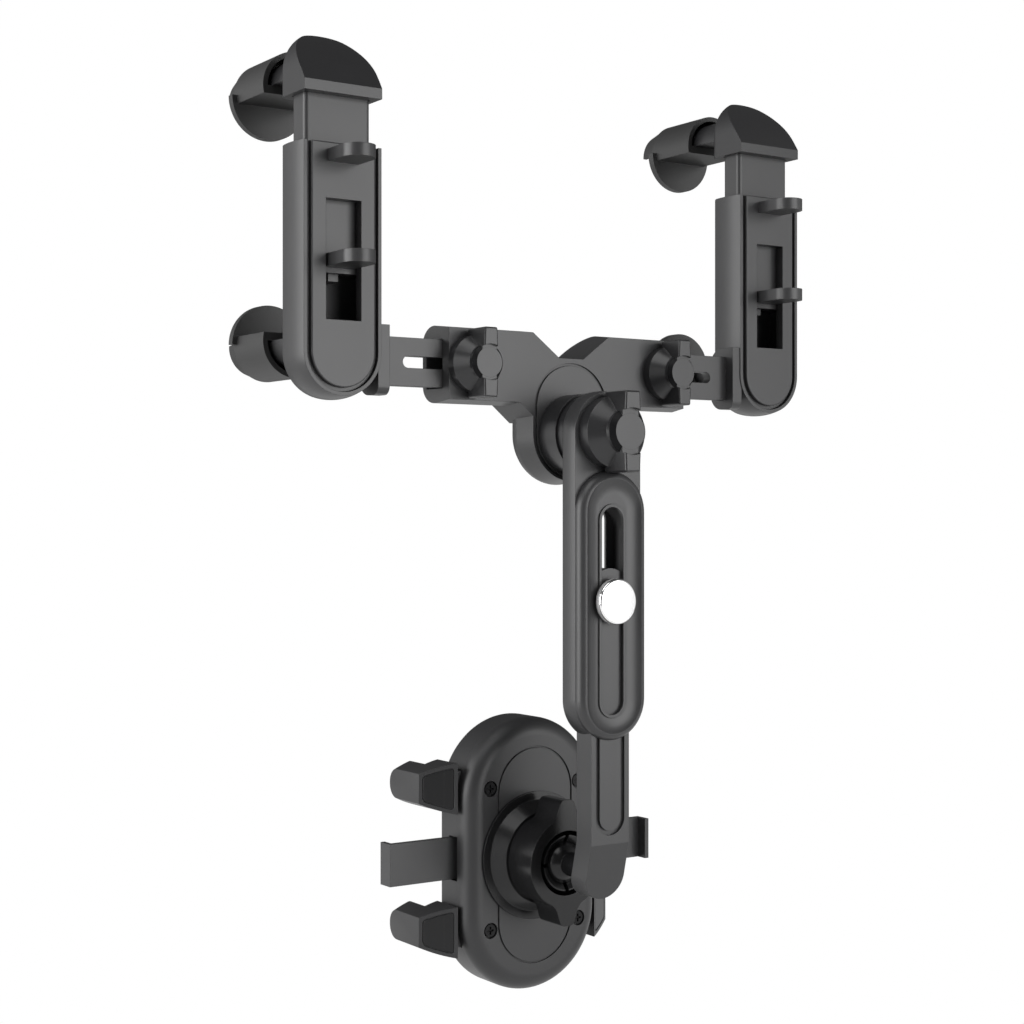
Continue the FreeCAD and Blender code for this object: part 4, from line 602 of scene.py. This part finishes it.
class MOUNT_OT_cap_plates(bpy.types.Operator):
    """Lay the glossy raised plate on each cap's swelling slope"""

    bl_idname = "mount.cap_plates"
    bl_label = "Cap plates"

    def execute(self, context):
        for side in ("left", "right"):
            self.plate("upper_jaw_" + side, side + "_jaw", context.scene.mount_sizes)
        return {"FINISHED"}

    def plate(self, node, body, sizes):
        """Model one plate flat, then bend it over the slope."""
        low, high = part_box(node)
        middle = (low[0] + high[0]) / 2
        half = (high[0] - low[0]) / 2
        centre = high[2] - half
        foot = Vector((low[1], centre - sizes.cap_straight))
        head = Vector((sizes.cap_back, high[2]))
        reach = half - sizes.plate_edge
        bottom = foot.y + sizes.plate_edge / 2
        form = bmesh.new()
        start = form.verts.new((middle + reach, 0, centre))
        bmesh.ops.spin(form, geom=[start], cent=(middle, 0, centre), axis=(0, 1, 0),
                       angle=-math.pi, steps=PLATE_STEPS)
        arc = sorted(form.verts, key=lambda dot: dot.co.x)
        ends = (arc[0], arc[-1])
        feet = [form.verts.new((dot.co.x, 0, bottom)) for dot in ends]
        for dot, below in zip(ends, feet):
            form.edges.new((dot, below))
        form.edges.new(feet)
        bmesh.ops.contextual_create(form, geom=form.edges)
        for cut in range(1, sizes.plate_cuts):
            level = bottom + (centre + reach - bottom) * cut / sizes.plate_cuts
            cut_across(form, (0, 0, level), (0, 0, 1))
        back = bmesh.ops.extrude_face_region(form, geom=form.faces[:])
        sunk = {item for item in back["geom"] if isinstance(item, bmesh.types.BMVert)}
        chord = head - foot
        swell = sizes.cap_swell
        radius = (chord.length_squared / 4 + swell * swell) / (2 * swell)
        outward = Vector((-chord.y, chord.x)).normalized()
        hub = foot + chord / 2 - outward * (radius - swell)
        for dot in form.verts:
            from_hub = radius + (sizes.plate_lift if dot not in sunk else -sizes.plate_lift)
            dot.co.y = hub.x - math.sqrt(from_hub * from_hub - (dot.co.z - hub.y) ** 2)
        bmesh.ops.recalc_face_normals(form, faces=form.faces)
        add_piece(node + "_plate", form, ("plate_gloss",), body)


# Stage


def area_light(name, place, width, height, power):
    """Set up a soft rectangular light that looks at the part."""
    data = bpy.data.lights.new(name, "AREA")
    data.shape = "RECTANGLE"
    data.size = width
    data.size_y = height
    data.energy = power
    lamp = bpy.data.objects.new(name, data)
    bpy.context.scene.collection.objects.link(lamp)
    lamp.location = place
    lamp.rotation_euler = (Vector(LIT_POINT) - Vector(place)).to_track_quat("-Z", "Y").to_euler()


def add_maths(nodes, links, operation, first, second=None):
    """Add one step of arithmetic on the outputs of other nodes."""
    step = nodes.new("ShaderNodeMath")
    step.operation = operation
    links.new(first, step.inputs[0])
    if second is not None:
        links.new(second, step.inputs[1])
    return step


def white_world(ambient):
    """White to the camera, white with dark flanks in reflections, dimmer as light on matte surfaces."""
    world = bpy.data.worlds.new("studio")
    bpy.context.scene.world = world
    world.use_nodes = True
    nodes, links = world.node_tree.nodes, world.node_tree.links
    ground = nodes["Background"]
    path = nodes.new("ShaderNodeLightPath")
    way = nodes.new("ShaderNodeTexCoord")
    along = nodes.new("ShaderNodeVectorMath")
    along.operation = "DOT_PRODUCT"
    along.inputs[1].default_value = BAND_WAY
    links.new(way.outputs["Generated"], along.inputs[0])
    both_ways = add_maths(nodes, links, "ABSOLUTE", along.outputs["Value"])
    band = add_maths(nodes, links, "POWER", both_ways.outputs["Value"])
    band.inputs[1].default_value = BAND_POWER
    mirrored = nodes.new("ShaderNodeMapRange")
    mirrored.inputs["To Min"].default_value = DARK_FLANK
    links.new(band.outputs["Value"], mirrored.inputs["Value"])
    matte = nodes.new("ShaderNodeMix")
    matte.inputs["A"].default_value = ambient
    links.new(path.outputs["Is Glossy Ray"], matte.inputs["Factor"])
    links.new(mirrored.outputs["Result"], matte.inputs["B"])
    clear = add_maths(nodes, links, "MAXIMUM", path.outputs["Is Camera Ray"],
                      path.outputs["Is Transmission Ray"])
    strength = nodes.new("ShaderNodeMix")
    strength.inputs["B"].default_value = 1.0
    links.new(clear.outputs["Value"], strength.inputs["Factor"])
    links.new(matte.outputs["Result"], strength.inputs["A"])
    links.new(strength.outputs["Result"], ground.inputs["Strength"])
    ground.inputs["Color"].default_value = WHITE


class MOUNT_OT_stage(bpy.types.Operator):
    """Set up the camera, the floor and the lights"""

    bl_idname = "mount.stage"
    bl_label = "Stage"

    def execute(self, context):
        stage = context.scene.mount_stage
        context.scene.view_settings.view_transform = "Standard"
        data = bpy.data.cameras.new("camera")
        data.sensor_width = FRAME_WIDTH
        data.lens = stage.lens
        data.clip_start = NEAREST_SEEN
        camera = bpy.data.objects.new("camera", data)
        context.scene.collection.objects.link(camera)
        camera.location = stage.camera_place
        camera.rotation_euler = (math.radians(90), 0, -stage.camera_turn)
        context.scene.camera = camera
        white_world(stage.ambient)
        for name, place, width, height in LIGHTS:
            area_light(name, place, width, height, getattr(stage, name))
        self.floor(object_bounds()[0][2] - stage.floor_drop)
        return {"FINISHED"}

    def floor(self, level):
        """Lay the pale floor, plain white to the camera and in reflections."""
        mesh = bpy.data.meshes.new("floor")
        form = bmesh.new()
        bmesh.ops.create_grid(form, x_segments=1, y_segments=1, size=FLOOR_HALF)
        bmesh.ops.translate(form, verts=form.verts, vec=(0, 0, level))
        form.to_mesh(mesh)
        form.free()
        floor = bpy.data.objects.new("floor", mesh)
        bpy.context.scene.collection.objects.link(floor)
        material, nodes, links, shader = new_material("floor_white")
        shader.inputs["Base Color"].default_value = FLOOR_COLOUR
        shader.inputs["Roughness"].default_value = FLOOR_ROUGH
        glow = nodes.new("ShaderNodeEmission")
        path = nodes.new("ShaderNodeLightPath")
        either = add_maths(nodes, links, "MAXIMUM", path.outputs["Is Camera Ray"],
                           path.outputs["Is Glossy Ray"])
        mix = nodes.new("ShaderNodeMixShader")
        links.new(either.outputs["Value"], mix.inputs["Fac"])
        links.new(shader.outputs["BSDF"], mix.inputs[1])
        links.new(glow.outputs["Emission"], mix.inputs[2])
        links.new(mix.outputs["Shader"], nodes["Material Output"].inputs["Surface"])
        paint(floor, material)
        floor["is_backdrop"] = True


class MOUNT_PT_panel(bpy.types.Panel):
    """Panel that lists the mount's pieces"""

    bl_label = "Mirror phone mount"
    bl_idname = "MOUNT_PT_panel"
    bl_space_type = "VIEW_3D"
    bl_region_type = "UI"
    bl_category = "Mount"

    def draw(self, context):
        for step in STEPS:
            self.layout.operator(step.bl_idname)


STEPS = (MOUNT_OT_stage, MOUNT_OT_finishes, MOUNT_OT_thumb_screw, MOUNT_OT_claws,
         MOUNT_OT_knob_collars, MOUNT_OT_cap_plates)
CLASSES = (MountStage, MountFinish, MountSizes, *STEPS, MOUNT_PT_panel)


def register():
    for kind in CLASSES:
        bpy.utils.register_class(kind)
    bpy.types.Scene.mount_stage = PointerProperty(type=MountStage)
    bpy.types.Scene.mount_finish = PointerProperty(type=MountFinish)
    bpy.types.Scene.mount_sizes = PointerProperty(type=MountSizes)


def unregister():
    del bpy.types.Scene.mount_sizes
    del bpy.types.Scene.mount_finish
    del bpy.types.Scene.mount_stage
    for kind in reversed(CLASSES):
        bpy.utils.unregister_class(kind)


def main():
    register()
    bpy.ops.mount.stage()
    bpy.ops.mount.finishes()
    bpy.ops.mount.thumb_screw()
    bpy.ops.mount.claws()
    bpy.ops.mount.knob_collars()
    bpy.ops.mount.cap_plates()


if __name__ == "__main__":
    main()
